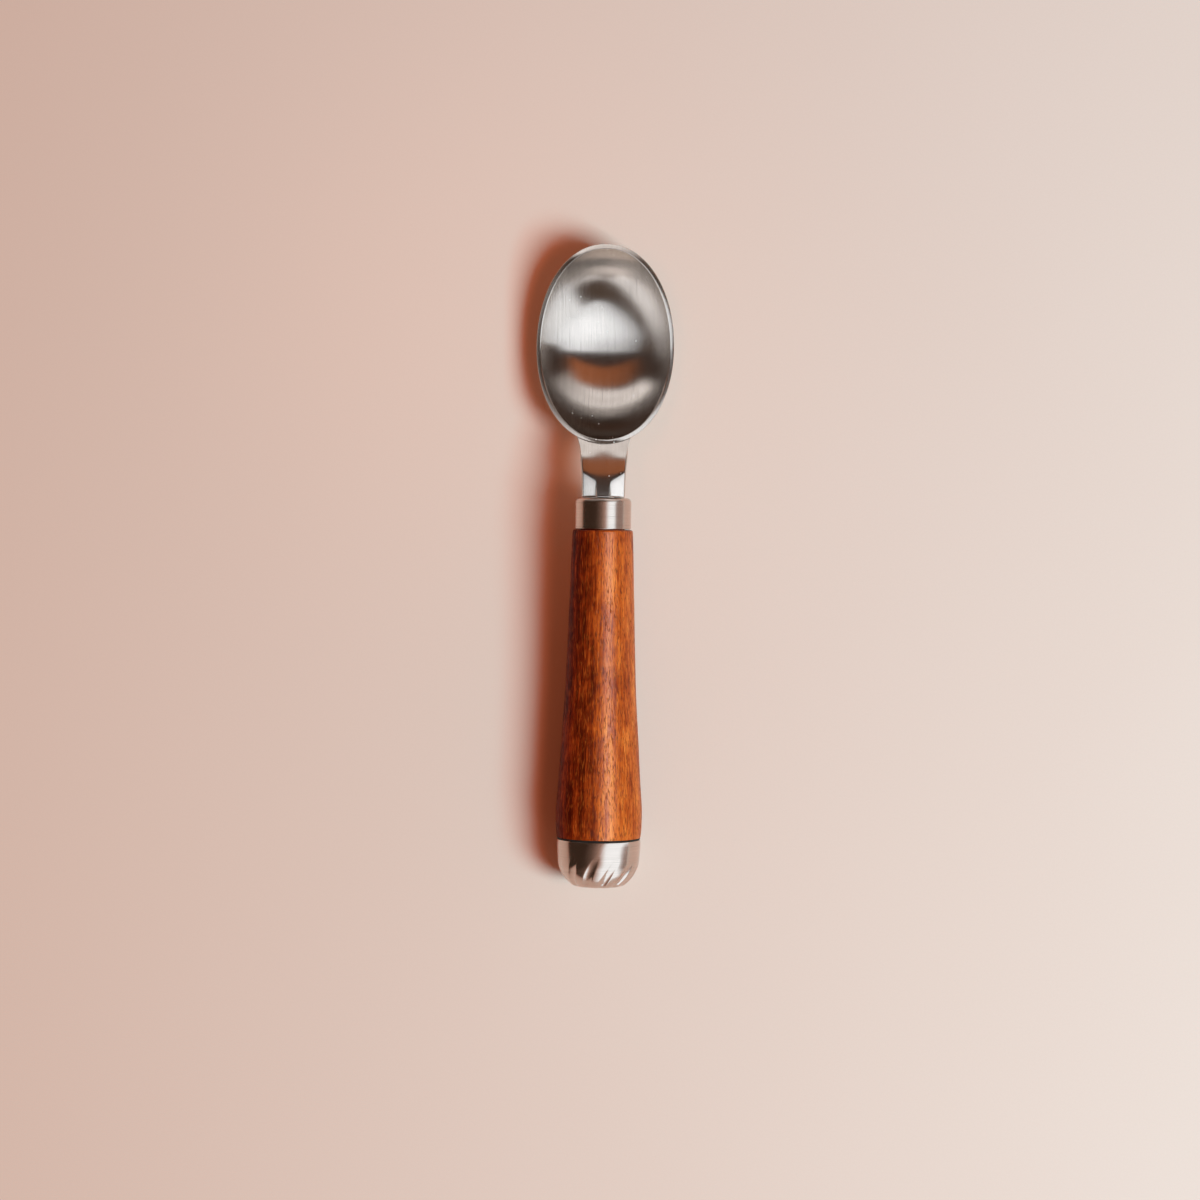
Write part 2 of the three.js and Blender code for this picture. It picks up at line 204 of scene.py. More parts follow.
def fillet(profile, radii, steps=5, closed=True):
    """Profile corners rounded: radii maps a corner's index to its radius."""
    out = []
    n = len(profile)
    for i, p in enumerate(profile):
        r = radii.get(i, 0)
        if r <= 0 or (not closed and i in (0, n - 1)):
            out.append(tuple(p))
            continue
        p = Vector(p)
        a, b = Vector(profile[i - 1]), Vector(profile[(i + 1) % n])
        da, db = (a - p).normalized(), (b - p).normalized()
        angle = da.angle(db)
        reach = min(r / math.tan(angle / 2), (a - p).length * 0.49, (b - p).length * 0.49)
        r = reach * math.tan(angle / 2)
        middle = (da + db).normalized() * (r / math.sin(angle / 2)) + p
        start, end = p + da * reach - middle, p + db * reach - middle
        total = start.angle(end)
        for k in range(steps + 1):
            t = k / steps
            v = (math.sin((1 - t) * total) * start + math.sin(t * total) * end) / math.sin(total)
            out.append(tuple(middle + v))
    return out


def turned(name, profile, segments, material, body, replaces, sharp=38):
    """Solid of revolution about the handle's axis from a closed profile of (radius, u)."""
    b = Builder(handle_point)
    rings = []
    for r, u in profile:
        rings.append(
            b.ring(
                [
                    (
                        r * math.sin(2 * math.pi * j / segments),
                        u,
                        r * math.cos(2 * math.pi * j / segments),
                    )
                    for j in range(segments)
                ]
            )
        )
    for i in range(len(rings)):
        b.bridge(rings[i], rings[(i + 1) % len(rings)])
    return piece(name, b.points, b.faces, material, body, replaces, sharp)


def thread_radius(mean, half_depth, u, phi):
    """Vee thread with a slightly rounded crest and root, right-handed."""
    t = (u / PITCH - phi / (2 * math.pi)) % 1.0
    tri = abs(2 * t - 1) * 2 - 1
    return mean + half_depth * math.sin(tri * math.pi / 2 * 0.86) / math.sin(math.pi / 2 * 0.86)


# ---------------------------------------------------------------- materials
def new_material(name):
    m = bpy.data.materials.new(name)
    m.use_nodes = True
    t = m.node_tree
    t.nodes.clear()
    out = t.nodes.new("ShaderNodeOutputMaterial")
    bsdf = t.nodes.new("ShaderNodeBsdfPrincipled")
    t.links.new(bsdf.outputs[0], out.inputs[0])
    return m, t, bsdf


def node(t, kind, **props):
    n = t.nodes.new(kind)
    for k, v in props.items():
        setattr(n, k, v)
    return n


def link(t, a, b):
    t.links.new(a, b)


def math_node(t, op, a, b=None, c=None, clamp=False):
    n = node(t, "ShaderNodeMath", operation=op, use_clamp=clamp)
    for i, v in enumerate((a, b, c)):
        if v is None:
            continue
        if isinstance(v, (int, float)):
            n.inputs[i].default_value = v
        else:
            link(t, v, n.inputs[i])
    return n.outputs[0]


def combine(t, x, y, z):
    n = node(t, "ShaderNodeCombineXYZ")
    for i, v in enumerate((x, y, z)):
        if isinstance(v, (int, float)):
            n.inputs[i].default_value = v
        else:
            link(t, v, n.inputs[i])
    return n.outputs[0]


def noise(t, vector, scale=1.0, detail=2.0, rough=0.5, distortion=0.0):
    n = node(t, "ShaderNodeTexNoise", noise_dimensions="3D")
    link(t, vector, n.inputs["Vector"])
    n.inputs["Scale"].default_value = scale
    n.inputs["Detail"].default_value = detail
    n.inputs["Roughness"].default_value = rough
    n.inputs["Distortion"].default_value = distortion
    return n.outputs[0]


def remap(t, v, a, b, c=0.0, d=1.0, smoothly=False):
    n = node(t, "ShaderNodeMapRange", clamp=True)
    if smoothly:
        n.interpolation_type = "SMOOTHSTEP"
    link(t, v, n.inputs[0])
    for i, k in enumerate((a, b, c, d)):
        n.inputs[i + 1].default_value = k
    return n.outputs[0]


def ramp(t, v, stops, mode="EASE"):
    n = node(t, "ShaderNodeValToRGB")
    n.color_ramp.interpolation = mode
    els = n.color_ramp.elements
    while len(els) > 1:
        els.remove(els[-1])
    els[0].position, els[0].color = stops[0][0], (*stops[0][1], 1)
    for pos, col in stops[1:]:
        e = els.new(pos)
        e.color = (*col, 1)
    link(t, v, n.inputs[0])
    return n.outputs[0]


def mix_colour(t, f, a, b, blend="MIX"):
    n = node(t, "ShaderNodeMix", data_type="RGBA", blend_type=blend)
    for sock, v in ((n.inputs[0], f), (n.inputs[6], a), (n.inputs[7], b)):
        if isinstance(v, (int, float)):
            sock.default_value = v
        elif isinstance(v, tuple):
            sock.default_value = (*v, 1)
        else:
            link(t, v, sock)
    return n.outputs[2]


def object_axes(t):
    """Object coordinates as x, y, z, with u along the handle and w up from it."""
    co = node(t, "ShaderNodeTexCoord").outputs["Object"]
    s = node(t, "ShaderNodeSeparateXYZ")
    link(t, co, s.inputs[0])
    x, y, z = s.outputs
    dy = math_node(t, "SUBTRACT", y, JOINT_Y * 1e-3)
    dz = math_node(t, "SUBTRACT", z, JOINT_Z * 1e-3)
    u = math_node(t, "ADD", math_node(t, "MULTIPLY", dy, COS), math_node(t, "MULTIPLY", dz, SIN))
    w = math_node(t, "SUBTRACT", math_node(t, "MULTIPLY", dz, COS), math_node(t, "MULTIPLY", dy, SIN))
    return co, x, y, z, u, w


def steel(name, brushing, roughness, anisotropy, tone=(0.62, 0.545, 0.49), streak=0.4, dust=0.0):
    """Stainless steel, brushed along the scoop or turned round the handle's axis."""
    m, t, bsdf = new_material(name)
    co, x, y, z, u, w = object_axes(t)
    if brushing == "along":
        across = math_node(t, "ADD", x, math_node(t, "MULTIPLY", z, 0.06))
        side = math_node(t, "SIGN", x)

        def lines(fine, length, seed):
            return combine(
                t,
                math_node(t, "MULTIPLY", across, fine),
                math_node(t, "MULTIPLY", y, length),
                math_node(t, "ADD", side, seed),
            )
    else:

        def lines(fine, length, seed):
            return combine(
                t,
                math_node(t, "ADD", math_node(t, "MULTIPLY", x, length), seed),
                math_node(t, "MULTIPLY", u, fine),
                math_node(t, "MULTIPLY", w, length),
            )

    hair = noise(t, lines(5200.0, 70.0, 0.0), 1.0, 3.0, 0.6)
    band = noise(t, lines(2300.0, 26.0, 3.0), 1.0, 3.0, 0.6)
    cut = noise(t, lines(3800.0, 60.0, 9.0), 1.0, 1.0, 0.4)
    cloud = noise(t, co, 160.0, 3.0, 0.55)
    grain = math_node(t, "ADD", math_node(t, "MULTIPLY", hair, 0.5), math_node(t, "MULTIPLY", band, 0.5))
    # colour: darker hairlines, a few deeper scratches and slow tone changes
    col = mix_colour(t, remap(t, grain, 0.32, 0.68), tuple(c * 0.89 for c in tone), tuple(min(1.0, c * 1.08) for c in tone))
    col = mix_colour(t, remap(t, cut, 0.66, 0.74, 0.0, 0.4), col, tuple(c * 0.45 for c in tone))
    col = mix_colour(t, remap(t, cloud, 0.35, 0.75, 0.0, 0.35), col, tuple(c * 0.92 for c in tone))
    rough = math_node(t, "ADD", math_node(t, "MULTIPLY", grain, 0.14), math_node(t, "MULTIPLY", cloud, 0.06))
    rough = math_node(t, "ADD", rough, roughness - 0.10)
    height = math_node(t, "SUBTRACT", grain, remap(t, cut, 0.66, 0.74, 0.0, 0.5))
    bsdf.inputs["Metallic"].default_value = 1.0
    if dust > 0:
        # tiny specks of dust and pits
        v = node(t, "ShaderNodeTexVoronoi", feature="F1")
        link(t, co, v.inputs["Vector"])
        v.inputs["Scale"].default_value = 420.0
        some = remap(t, noise(t, co, 75.0, 2.0), 0.53, 0.60)
        dots = math_node(t, "MULTIPLY", remap(t, v.outputs["Distance"], 0.05, 0.11, 1.0, 0.0), some)
        dots = math_node(t, "MULTIPLY", dots, dust)
        col = mix_colour(t, dots, col, (0.85, 0.82, 0.78))
        link(t, math_node(t, "SUBTRACT", 1.0, math_node(t, "MULTIPLY", dots, 0.7)), bsdf.inputs["Metallic"])
        rough = math_node(t, "ADD", rough, math_node(t, "MULTIPLY", dots, 0.4))
        height = math_node(t, "ADD", height, dots)
    link(t, col, bsdf.inputs["Base Color"])
    link(t, rough, bsdf.inputs["Roughness"])
    bsdf.inputs["Anisotropic"].default_value = anisotropy
    if brushing == "round":
        bsdf.inputs["Anisotropic Rotation"].default_value = 0.25
    # across the brushing: square to the surface and to the scoop's length
    tangent = node(t, "ShaderNodeVectorMath", operation="CROSS_PRODUCT")
    tangent.inputs[0].default_value = (0.0, 1.0, 0.0)
    link(t, node(t, "ShaderNodeNewGeometry").outputs["Normal"], tangent.inputs[1])
    link(t, tangent.outputs[0], bsdf.inputs["Tangent"])
    bump = node(t, "ShaderNodeBump")
    bump.inputs["Strength"].default_value = streak
    bump.inputs["Distance"].default_value = 3.0e-5
    link(t, height, bump.inputs["Height"])
    link(t, bump.outputs[0], bsdf.inputs["Normal"])
    return m


def hardwood():
    """Oiled red-brown hardwood with the grain along the handle."""
    m, t, bsdf = new_material("oiled_hardwood")
    co, x, y, z, u, w = object_axes(t)

    def along(across, length, seed=0.0):
        return combine(
            t,
            math_node(t, "MULTIPLY", x, across),
            math_node(t, "ADD", math_node(t, "MULTIPLY", u, length), seed),
            math_node(t, "MULTIPLY", w, across),
        )

    slow = noise(t, along(75.0, 14.0), 1.0, 2.0, 0.5, 0.5)
    figure = noise(t, along(150.0, 95.0, 5.0), 1.0, 3.0, 0.6, 1.0)
    streaks = noise(t, along(640.0, 26.0, 3.0), 1.0, 3.0, 0.6, 0.25)
    fibre = noise(t, along(2100.0, 110.0, 7.0), 1.0, 2.0, 0.6)
    pores = noise(t, along(3300.0, 480.0, 11.0), 1.0, 1.0, 0.5)
    flecks = noise(t, along(2900.0, 330.0, 29.0), 1.0, 1.0, 0.5)
    # painted shade: the -X side, turned away from the lamps, is made darker
    painted_shade_left = remap(t, x, -0.009, 0.003, 0.12, 0.0, True)
    tone = math_node(t, "ADD", math_node(t, "MULTIPLY", slow, 0.34), math_node(t, "MULTIPLY", figure, 0.30))
    tone = math_node(t, "ADD", tone, math_node(t, "MULTIPLY", streaks, 0.30))
    tone = math_node(t, "ADD", tone, math_node(t, "MULTIPLY", fibre, 0.34))
    # painted shade taken off the wood's tone on the -X side
    tone = math_node(t, "SUBTRACT", tone, painted_shade_left)
    col = ramp(
        t,
        remap(t, tone, 0.46, 0.83),
        [
            (0.0, (0.075, 0.0062, 0.0009)),
            (0.25, (0.225, 0.0260, 0.0032)),
            (0.5, (0.440, 0.0760, 0.0095)),
            (0.75, (0.620, 0.1450, 0.0215)),
            (1.0, (0.760, 0.2350, 0.0450)),
        ],
        "LINEAR",
    )
    gold = remap(t, flecks, 0.56, 0.72, 0.0, 0.30)
    col = mix_colour(t, gold, col, (0.760, 0.2150, 0.0330))
    pore = remap(t, pores, 0.55, 0.66)
    col = mix_colour(t, math_node(t, "MULTIPLY", pore, 0.70), col, (0.080, 0.0090, 0.0018))
    link(t, col, bsdf.inputs["Base Color"])
    rough = math_node(t, "ADD", math_node(t, "MULTIPLY", fibre, 0.14), 0.30)
    rough = math_node(t, "ADD", rough, math_node(t, "MULTIPLY", pore, 0.25))
    link(t, rough, bsdf.inputs["Roughness"])
    bsdf.inputs["IOR"].default_value = 1.46
    # polished most along the top
    polish = math_node(t, "MULTIPLY", remap(t, x, -0.009, 0.001, 0.04, 0.5, True), remap(t, x, 0.006, 0.012, 1.0, 0.3, True))
    link(t, polish, bsdf.inputs["Specular IOR Level"])
    bump = node(t, "ShaderNodeBump")
    bump.inputs["Strength"].default_value = 0.5
    bump.inputs["Distance"].default_value = 4.0e-5
    height = math_node(t, "SUBTRACT", math_node(t, "MULTIPLY", fibre, 0.4), pore)
    link(t, height, bump.inputs["Height"])
    link(t, bump.outputs[0], bsdf.inputs["Normal"])
    return m


def rubber():
    m, t, bsdf = new_material("black_seal_rubber")
    co = node(t, "ShaderNodeTexCoord").outputs["Object"]
    a = noise(t, co, 2600.0, 3.0, 0.6)
    b = noise(t, co, 220.0, 2.0, 0.5)
    link(t, ramp(t, b, [(0.3, (0.010, 0.008, 0.007)), (0.75, (0.026, 0.021, 0.018))]), bsdf.inputs["Base Color"])
    link(t, remap(t, a, 0.3, 0.7, 0.55, 0.8), bsdf.inputs["Roughness"])
    bump = node(t, "ShaderNodeBump")
    bump.inputs["Strength"].default_value = 0.4
    bump.inputs["Distance"].default_value = 4.0e-5
    link(t, a, bump.inputs["Height"])
    link(t, bump.outputs[0], bsdf.inputs["Normal"])
    return m


head_steel = steel("brushed_head_steel", "along", 0.20, 0.75, streak=0.18, dust=1.0)
ferrule_steel = steel("turned_ferrule_steel", "round", 0.21, 0.3, tone=(0.67, 0.514, 0.441), streak=0.15)
pommel_steel = steel("polished_pommel_steel", "round", 0.17, 0.2, tone=(0.67, 0.514, 0.441), streak=0.1)
hardware_steel = steel("plated_hardware_steel", "round", 0.38, 0.3, tone=(0.50, 0.485, 0.46))
wood = hardwood()
black = rubber()


# ---------------------------------------------------------------- scoop head
def oval(theta, share):
    c, s = math.cos(theta), math.sin(theta)
    n = BOWL_REAR_FULLNESS if s < 0 else BOWL_TIP_FULLNESS
    return (
        share * BOWL_HALF_WIDTH * math.copysign(abs(c) ** (2 / n), c),
        share * BOWL_HALF_LENGTH * math.copysign(abs(s) ** (2 / n), s),
    )


def inside_height(x, y):
    q = (x / BOWL_RADIUS_X) ** 2 + (y / BOWL_RADIUS_Y) ** 2
    return WALL_BOTTOM + BOWL_RADIUS_Z * (1 - math.sqrt(max(0.01, 1 - q)))


def inside(theta, share):
    x, y = oval(theta, share)
    return Vector((x, y, inside_height(x, y)))


def outside(theta, share):
    """Outer surface of the bowl, with a slightly flattened belly and a lip that stands up to the rim's land."""
    p = inside(theta, share)
    e = 1e-3
    gx = (inside_height(p.x + e, p.y) - inside_height(p.x - e, p.y)) / (2 * e)
    gy = (inside_height(p.x, p.y + e) - inside_height(p.x, p.y - e)) / (2 * e)
    wall = WALL_BOTTOM + (WALL_RIM - WALL_BOTTOM) * share * share
    q = p + Vector((gx, gy, -1)).normalized() * wall
    a = q.z - 0.2 * (1 - share)
    q.z = 0.5 * (a + math.sqrt(a * a + 0.01))
    if share > 0.9:
        lift = land_edge(theta).z - bare_outer_z(theta)
        q.z += max(0.0, lift) * ((share - 0.9) / 0.1) ** 2
    return q


def bare_outer_z(theta):
    p = inside(theta, 1)
    e = 1e-3
    gx = (inside_height(p.x + e, p.y) - inside_height(p.x - e, p.y)) / (2 * e)
    gy = (inside_height(p.x, p.y + e) - inside_height(p.x, p.y - e)) / (2 * e)
    return p.z - WALL_RIM / math.sqrt(1 + gx * gx + gy * gy)


def land_edge(theta):
    """Outer edge of the rim's land."""
    p = inside(theta, 1)
    e = 1e-3
    gx = (inside_height(p.x + e, p.y) - inside_height(p.x - e, p.y)) / (2 * e)
    gy = (inside_height(p.x, p.y + e) - inside_height(p.x, p.y - e)) / (2 * e)
    k = WALL_RIM / math.sqrt(1 + gx * gx + gy * gy)
    turn = (theta + math.pi / 2 + math.pi) % (2 * math.pi) - math.pi
    k *= 1 - 0.3 * math.exp(-((turn / math.radians(28)) ** 2))  # narrower where the neck joins
    out = math.hypot(gx * k, gy * k)
    return Vector((p.x + gx * k, p.y + gy * k, p.z - LAND_DROP * out))


def corner(before, edge, after, radius, steps=3):
    a = edge + (before - edge).normalized() * radius
    b = edge + (after - edge).normalized() * radius
    return [
        a * (1 - t) ** 2 + edge * 2 * t * (1 - t) + b * t * t
        for t in (k / steps for k in range(steps + 1))
    ]


neck_stations = [
    (10.45, 26.0, 17.75, 7.0, 4.0),
    (12.4, 25.84, 17.65, 7.05, 4.0),
    (14.6, 25.61, 17.5, 7.1, 3.8),
    (17.2, 25.22, 17.2, 7.2, 3.4),
    (19.6, 24.66, 16.85, 7.35, 3.0),
    (21.8, 23.95, 16.35, 7.55, 2.8),
    (24.0, 23.06, 15.7, 7.8, 2.6),
    (26.2, 21.98, 14.9, 8.25, 2.4),
]
neck_top = curve([(s[0], s[1]) for s in neck_stations])
neck_under = curve([(s[0], s[2]) for s in neck_stations])
neck_half = curve([(s[0], s[3]) for s in neck_stations])
neck_square = curve([(s[0], s[4]) for s in neck_stations])
TOP_SQUARE = 14.0


def pad_drop(x, y):
    """Two flats cut into the neck's top beside its middle rib: they fall towards the ferrule and outwards."""
    d = 0.19 * (x - 1.9) - 0.24 * (y - 14.8)
    return 0.5 * (d + math.sqrt(d * d + 0.05)) * smooth(2.0, 2.6, x)


def neck_section(y, across, down):
    """Closed neck section as a loop: along the top, down the +X side, back along the underside, up the -X side."""
    hi, lo, half, n = neck_top(y), neck_under(y), neck_half(y), neck_square(y)
    ct, cb = 0.5 ** (1 / TOP_SQUARE), 0.5 ** (1 / n)
    loop = []

    def put(x, t):
        z = lo + (hi - lo) * (t + 1) / 2
        if t > 0:
            z -= pad_drop(abs(x * half), y) * t
        yy = y
        lean = 1 - smooth(10.45, 20, y)
        yy -= (z - JOINT_Z - y * TAN) * TAN * lean
        loop.append(Vector((x * half, yy, z)))

    for i in range(2 * across + 1):
        x = -ct + 2 * ct * i / (2 * across)
        put(x, (1 - abs(x) ** TOP_SQUARE) ** (1 / TOP_SQUARE))
    side = []
    for i in range(1, down):
        t = ct - (ct + cb) * i / down
        k = TOP_SQUARE if t > 0 else n
        side.append(((1 - abs(t) ** k) ** (1 / k), t))
    for x, t in side:
        put(x, t)
    for i in range(2 * across + 1):
        x = cb - 2 * cb * i / (2 * across)
        put(x, -((1 - abs(x) ** n) ** (1 / n)))
    for x, t in reversed(side):
        put(-x, t)
    return loop


def build_head():
    N, C = 384, 24  # columns round the bowl, and half the columns that the neck takes
    n = N // 4
    b = Builder(table_point)
    step = 2 * math.pi / N
    theta = [-math.pi / 2 + k * step for k in range(N)]

    def put(v):
        return b.add((v.x, v.y + BOWL_CENTRE_Y, v.z))

    def disc(share, surface):
        """Pole-free grid over the middle of the bowl. Returns its boundary by column."""
        ids = {}
        boundary = [None] * N
        for i in range(n + 1):
            for j in range(n + 1):
                a, c = -1 + 2 * i / n, -1 + 2 * j / n
                if abs(a) > abs(c):
                    r, ph = a, math.pi / 4 * (c / a)
                elif c != 0:
                    r, ph = c, math.pi / 2 - math.pi / 4 * (a / c)
                else:
                    r, ph = 0.0, 0.0
                px, py = r * math.cos(ph), r * math.sin(ph)
                th = math.atan2(py, px)
                ids[i, j] = put(surface(th, share * abs(r)))
                if i in (0, n) or j in (0, n):
                    boundary[round((th + math.pi / 2) / step) % N] = ids[i, j]
        for i in range(n):
            for j in range(n):
                b.faces.append((ids[i, j], ids[i + 1, j], ids[i + 1, j + 1], ids[i, j + 1]))
        return boundary

    # inside, rim land and outer edge
    ring = disc(0.80, inside)
    for s in (0.83, 0.86, 0.89, 0.915, 0.94, 0.96, 0.975, 0.985):
        nxt = [put(inside(th, s)) for th in theta]
        b.bridge(ring, nxt)
        ring = nxt
    inner = [corner(inside(th, 0.985), inside(th, 1), land_edge(th), 0.16) for th in theta]
    outer = [corner(inside(th, 1), land_edge(th), outside(th, 0.985), 0.22) for th in theta]
    for row in list(zip(*inner)) + list(zip(*outer)):
        nxt = [put(v) for v in row]
        b.bridge(ring, nxt)
        ring = nxt

    # outer wall, left open where the neck grows out of it
    shares = [0.985, 0.965, 0.94, 0.915, 0.89, 0.865, 0.84, 0.82, 0.80, 0.775, 0.745, 0.71, 0.67, 0.62, 0.57, 0.52]
    B = 9

    def signed(k):
        return k if k <= N // 2 else k - N

    def warped(k, row):
        t = smooth(0, B, row) * (1 - smooth(B + 1, len(shares), row))
        ph = signed(k) * step
        return -math.pi / 2 + ph * (1 + 0.5 * t * math.exp(-((ph / math.radians(45)) ** 2)))

    rows = [ring]
    for r, s in enumerate(shares[:-1], 1):
        rows.append(
            [
                None if abs(signed(k)) < C and 0 < r < B else put(outside(warped(k, r), s))
                for k in range(N)
            ]
        )
    belly = disc(shares[-1], outside)
    rows.append(belly)
    for r in range(len(rows) - 1):
        for k in range(N):
            j = (k + 1) % N
            if r < B and -C <= signed(k) < C:
                continue
            b.faces.append((rows[r][k], rows[r][j], rows[r + 1][j], rows[r + 1][k]))

    # loop of the opening, in the order of the neck's sections
    loop = [rows[0][k % N] for k in range(-C, C + 1)]
    loop += [rows[r][C] for r in range(1, B)]
    loop += [rows[B][k % N] for k in range(C, -C - 1, -1)]
    loop += [rows[r][-C % N] for r in range(B - 1, 0, -1)]

    # direction in which the neck leaves the wall at each point of that loop
    def wall_point(k, row):
        s = 1.0 if row == 0 else shares[row - 1]
        return outside(warped(k, row), s)

    def round_the_wall(row, sign):
        here, there = wall_point(sign * C, row), wall_point(sign * (C - 3), row)
        return (there - here).normalized()

    def up_the_wall(k):
        return (wall_point(k, B - 1) - wall_point(k, B)).normalized()

    rise = math.radians(30)
    top_dir = Vector((0, -math.cos(rise), math.sin(rise)))

    def corner_dir(sign):
        return Vector((-0.40 * sign, -0.86, 0.42)).normalized()

    def side_dir(row, sign):
        f = smooth(0, 5, row)
        return (corner_dir(sign) * (1 - f) + round_the_wall(row, sign) * f).normalized()

    starts = []
    for k in range(-C, C + 1):
        f = abs(k) / C
        starts.append((top_dir * (1 - f) + corner_dir(1 if k > 0 else -1) * f).normalized())
    starts += [side_dir(r, 1) for r in range(1, B)]
    for k in range(C, -C - 1, -1):
        f = smooth(C - 9, C, abs(k))
        starts.append((up_the_wall(k) * (1 - f) + (up_the_wall(k) + round_the_wall(B, 1 if k > 0 else -1)).normalized() * f).normalized())
    starts += [side_dir(r, -1) for r in range(B - 1, 0, -1)]

    y1 = 22.5
    first = neck_section(y1, C, B)
    ahead = neck_section(y1 - 0.4, C, B)
    base = [Vector(b.points[i]) for i in loop]
    base = [Vector((p.x * 1e3, p.y * 1e3 - JOINT_Y, p.z * 1e3)) for p in base]
    prev = loop
    blends = 12
    for i in range(1, blends + 1):
        t = i / blends
        ring = []
        for p0, d0, p1, q1 in zip(base, starts, first, ahead):
            chord = (p1 - p0).length
            t0 = d0 * chord
            t1 = (q1 - p1).normalized() * chord
            v = (
                p0 * (2 * t**3 - 3 * t**2 + 1)
                + t0 * (t**3 - 2 * t**2 + t)
                + p1 * (3 * t**2 - 2 * t**3)
                + t1 * (t**3 - t**2)
            )
            ring.append(b.add(v))
        b.bridge(prev, ring)
        prev = ring
    for y in [22.5 - 0.28 * i for i in range(1, 42)] + [10.75]:
        ring = [b.add(v) for v in neck_section(y, C, B)]
        b.bridge(prev, ring)
        prev = ring
    # end of the neck: a small edge, the bearing face and the rod's socket
    last = neck_section(NECK_END, C, B)
    mid = sum(last, Vector()) / len(last)

    def on_plane(v, u, shrink):
        w = mid + (v - mid) * shrink
        return Vector((w.x, (u - (w.z - JOINT_Z) * SIN) / COS, w.z))

    for u, shrink in ((NECK_END + 0.16, 1.0), (NECK_END + 0.05, 0.992), (NECK_END, 0.975)):
        ring = [b.add(on_plane(v, u, shrink)) for v in last]
        b.bridge(prev, ring)
        prev = ring

    def socket(u, radius):
        pts = []
        for v in last:
            d = Vector((v.x, 0, v.z - (JOINT_Z + NECK_END * TAN))).normalized() * radius
            y = u * COS - d.z * SIN
            z = JOINT_Z + u * SIN + d.z * COS
            pts.append(Vector((d.x, y, z)))
        return pts

    for u, radius in ((NECK_END, SOCKET_RADIUS), (NECK_END + SOCKET_DEPTH, SOCKET_RADIUS)):
        ring = [b.add(v) for v in socket(u, radius)]
        b.bridge(prev, ring)
        prev = ring
    u = NECK_END + SOCKET_DEPTH
    b.cap(prev, (0, u * COS, JOINT_Z + u * SIN))
    return piece("scoop_head_fine", b.points, b.faces, head_steel, "scoop", ["scoop_head"], 50)


head = build_head()

# ---------------------------------------------------------------- ferrule
front = FERRULE_LENGTH
ferrule_profile = fillet(
    [
        (FERRULE_BORE, 0.1),
        (FERRULE_RADIUS, 0.1),
        (FERRULE_RADIUS, front),
        (SEAL_SEAT, front),
        (SEAL_SEAT, front - 1.1),
        (ROD_NOSE + 0.3, front - 1.1),
        (ROD_NOSE + 0.3, front - FERRULE_FRONT_WALL),
        (FERRULE_BORE, front - FERRULE_FRONT_WALL),
    ],
    {1: 0.25, 2: FERRULE_EDGE, 3: 0.1},
    8,
)
# extra rings on the long outer wall keep its shading even
i = next(k for k, p in enumerate(ferrule_profile) if p[0] > FERRULE_RADIUS - 1e-4 and p[1] > 0.5)
ferrule_profile[i:i] = [(FERRULE_RADIUS, u) for u in (0.45, 1.5, 3, 4.5, 6, 7.5, 8.6)]
turned("ferrule_fine", ferrule_profile, 160, ferrule_steel, "scoop", ["ferrule"])

# ---------------------------------------------------------------- grip
grip_radius = curve(
    [
        (-100.7, 13.72), (-98.0, 13.98), (-93.5, 14.1), (-91.0, 14.05), (-84.9, 13.6), (-78.4, 13.15),
        (-71.9, 12.8), (-65.3, 12.37), (-58.8, 11.93), (-52.2, 11.57), (-45.7, 11.33), (-39.1, 11.08),
        (-32.6, 10.87), (-26.0, 10.7), (-19.5, 10.45), (-13.0, 10.28), (-6.5, 10.08), (-1.2, 9.86), (0, 9.7),
    ]
)
grip_profile = [
    (ROD_BORE, TENON_LENGTH),
    (TENON_RADIUS - 0.3, TENON_LENGTH),
    (TENON_RADIUS, TENON_LENGTH - 0.3),
    (TENON_RADIUS, -0.15),
    (8.4, -0.15),
    (9.1, -0.15),
]
for k in range(1, 7):  # rounded shoulder behind the ferrule
    a = k / 6 * math.pi / 2
    grip_profile.append((9.1 + (grip_radius(-0.95) - 9.1) * math.sin(a), -0.15 - 0.8 * (1 - math.cos(a))))
us = list(np.linspace(-1.5, -99.2, 118))
grip_profile += [(grip_radius(u), u) for u in us]
grip_profile += [(grip_radius(u), u) for u in (-99.8, -100.2, -100.45)]
for k in range(1, 6):
    a = k / 5 * math.pi / 2
    grip_profile.append((grip_radius(-100.5) - 0.18 * (1 - math.cos(a)), -100.52 - 0.18 * math.sin(a)))
grip_profile += [
    (12.4, -GRIP_LENGTH),
    (11.0, -GRIP_LENGTH),
    (9.4, -GRIP_LENGTH),
    (NUT_POCKET_RADIUS + 0.25, -GRIP_LENGTH),
    (NUT_POCKET_RADIUS, -GRIP_LENGTH + 0.25),
    (NUT_POCKET_RADIUS, -GRIP_LENGTH + 4.5),
    (NUT_POCKET_RADIUS, -GRIP_LENGTH + NUT_POCKET_DEPTH),
    (ROD_BORE, -GRIP_LENGTH + NUT_POCKET_DEPTH),
]
turned("grip_fine", grip_profile, 176, wood, "scoop", ["grip"])

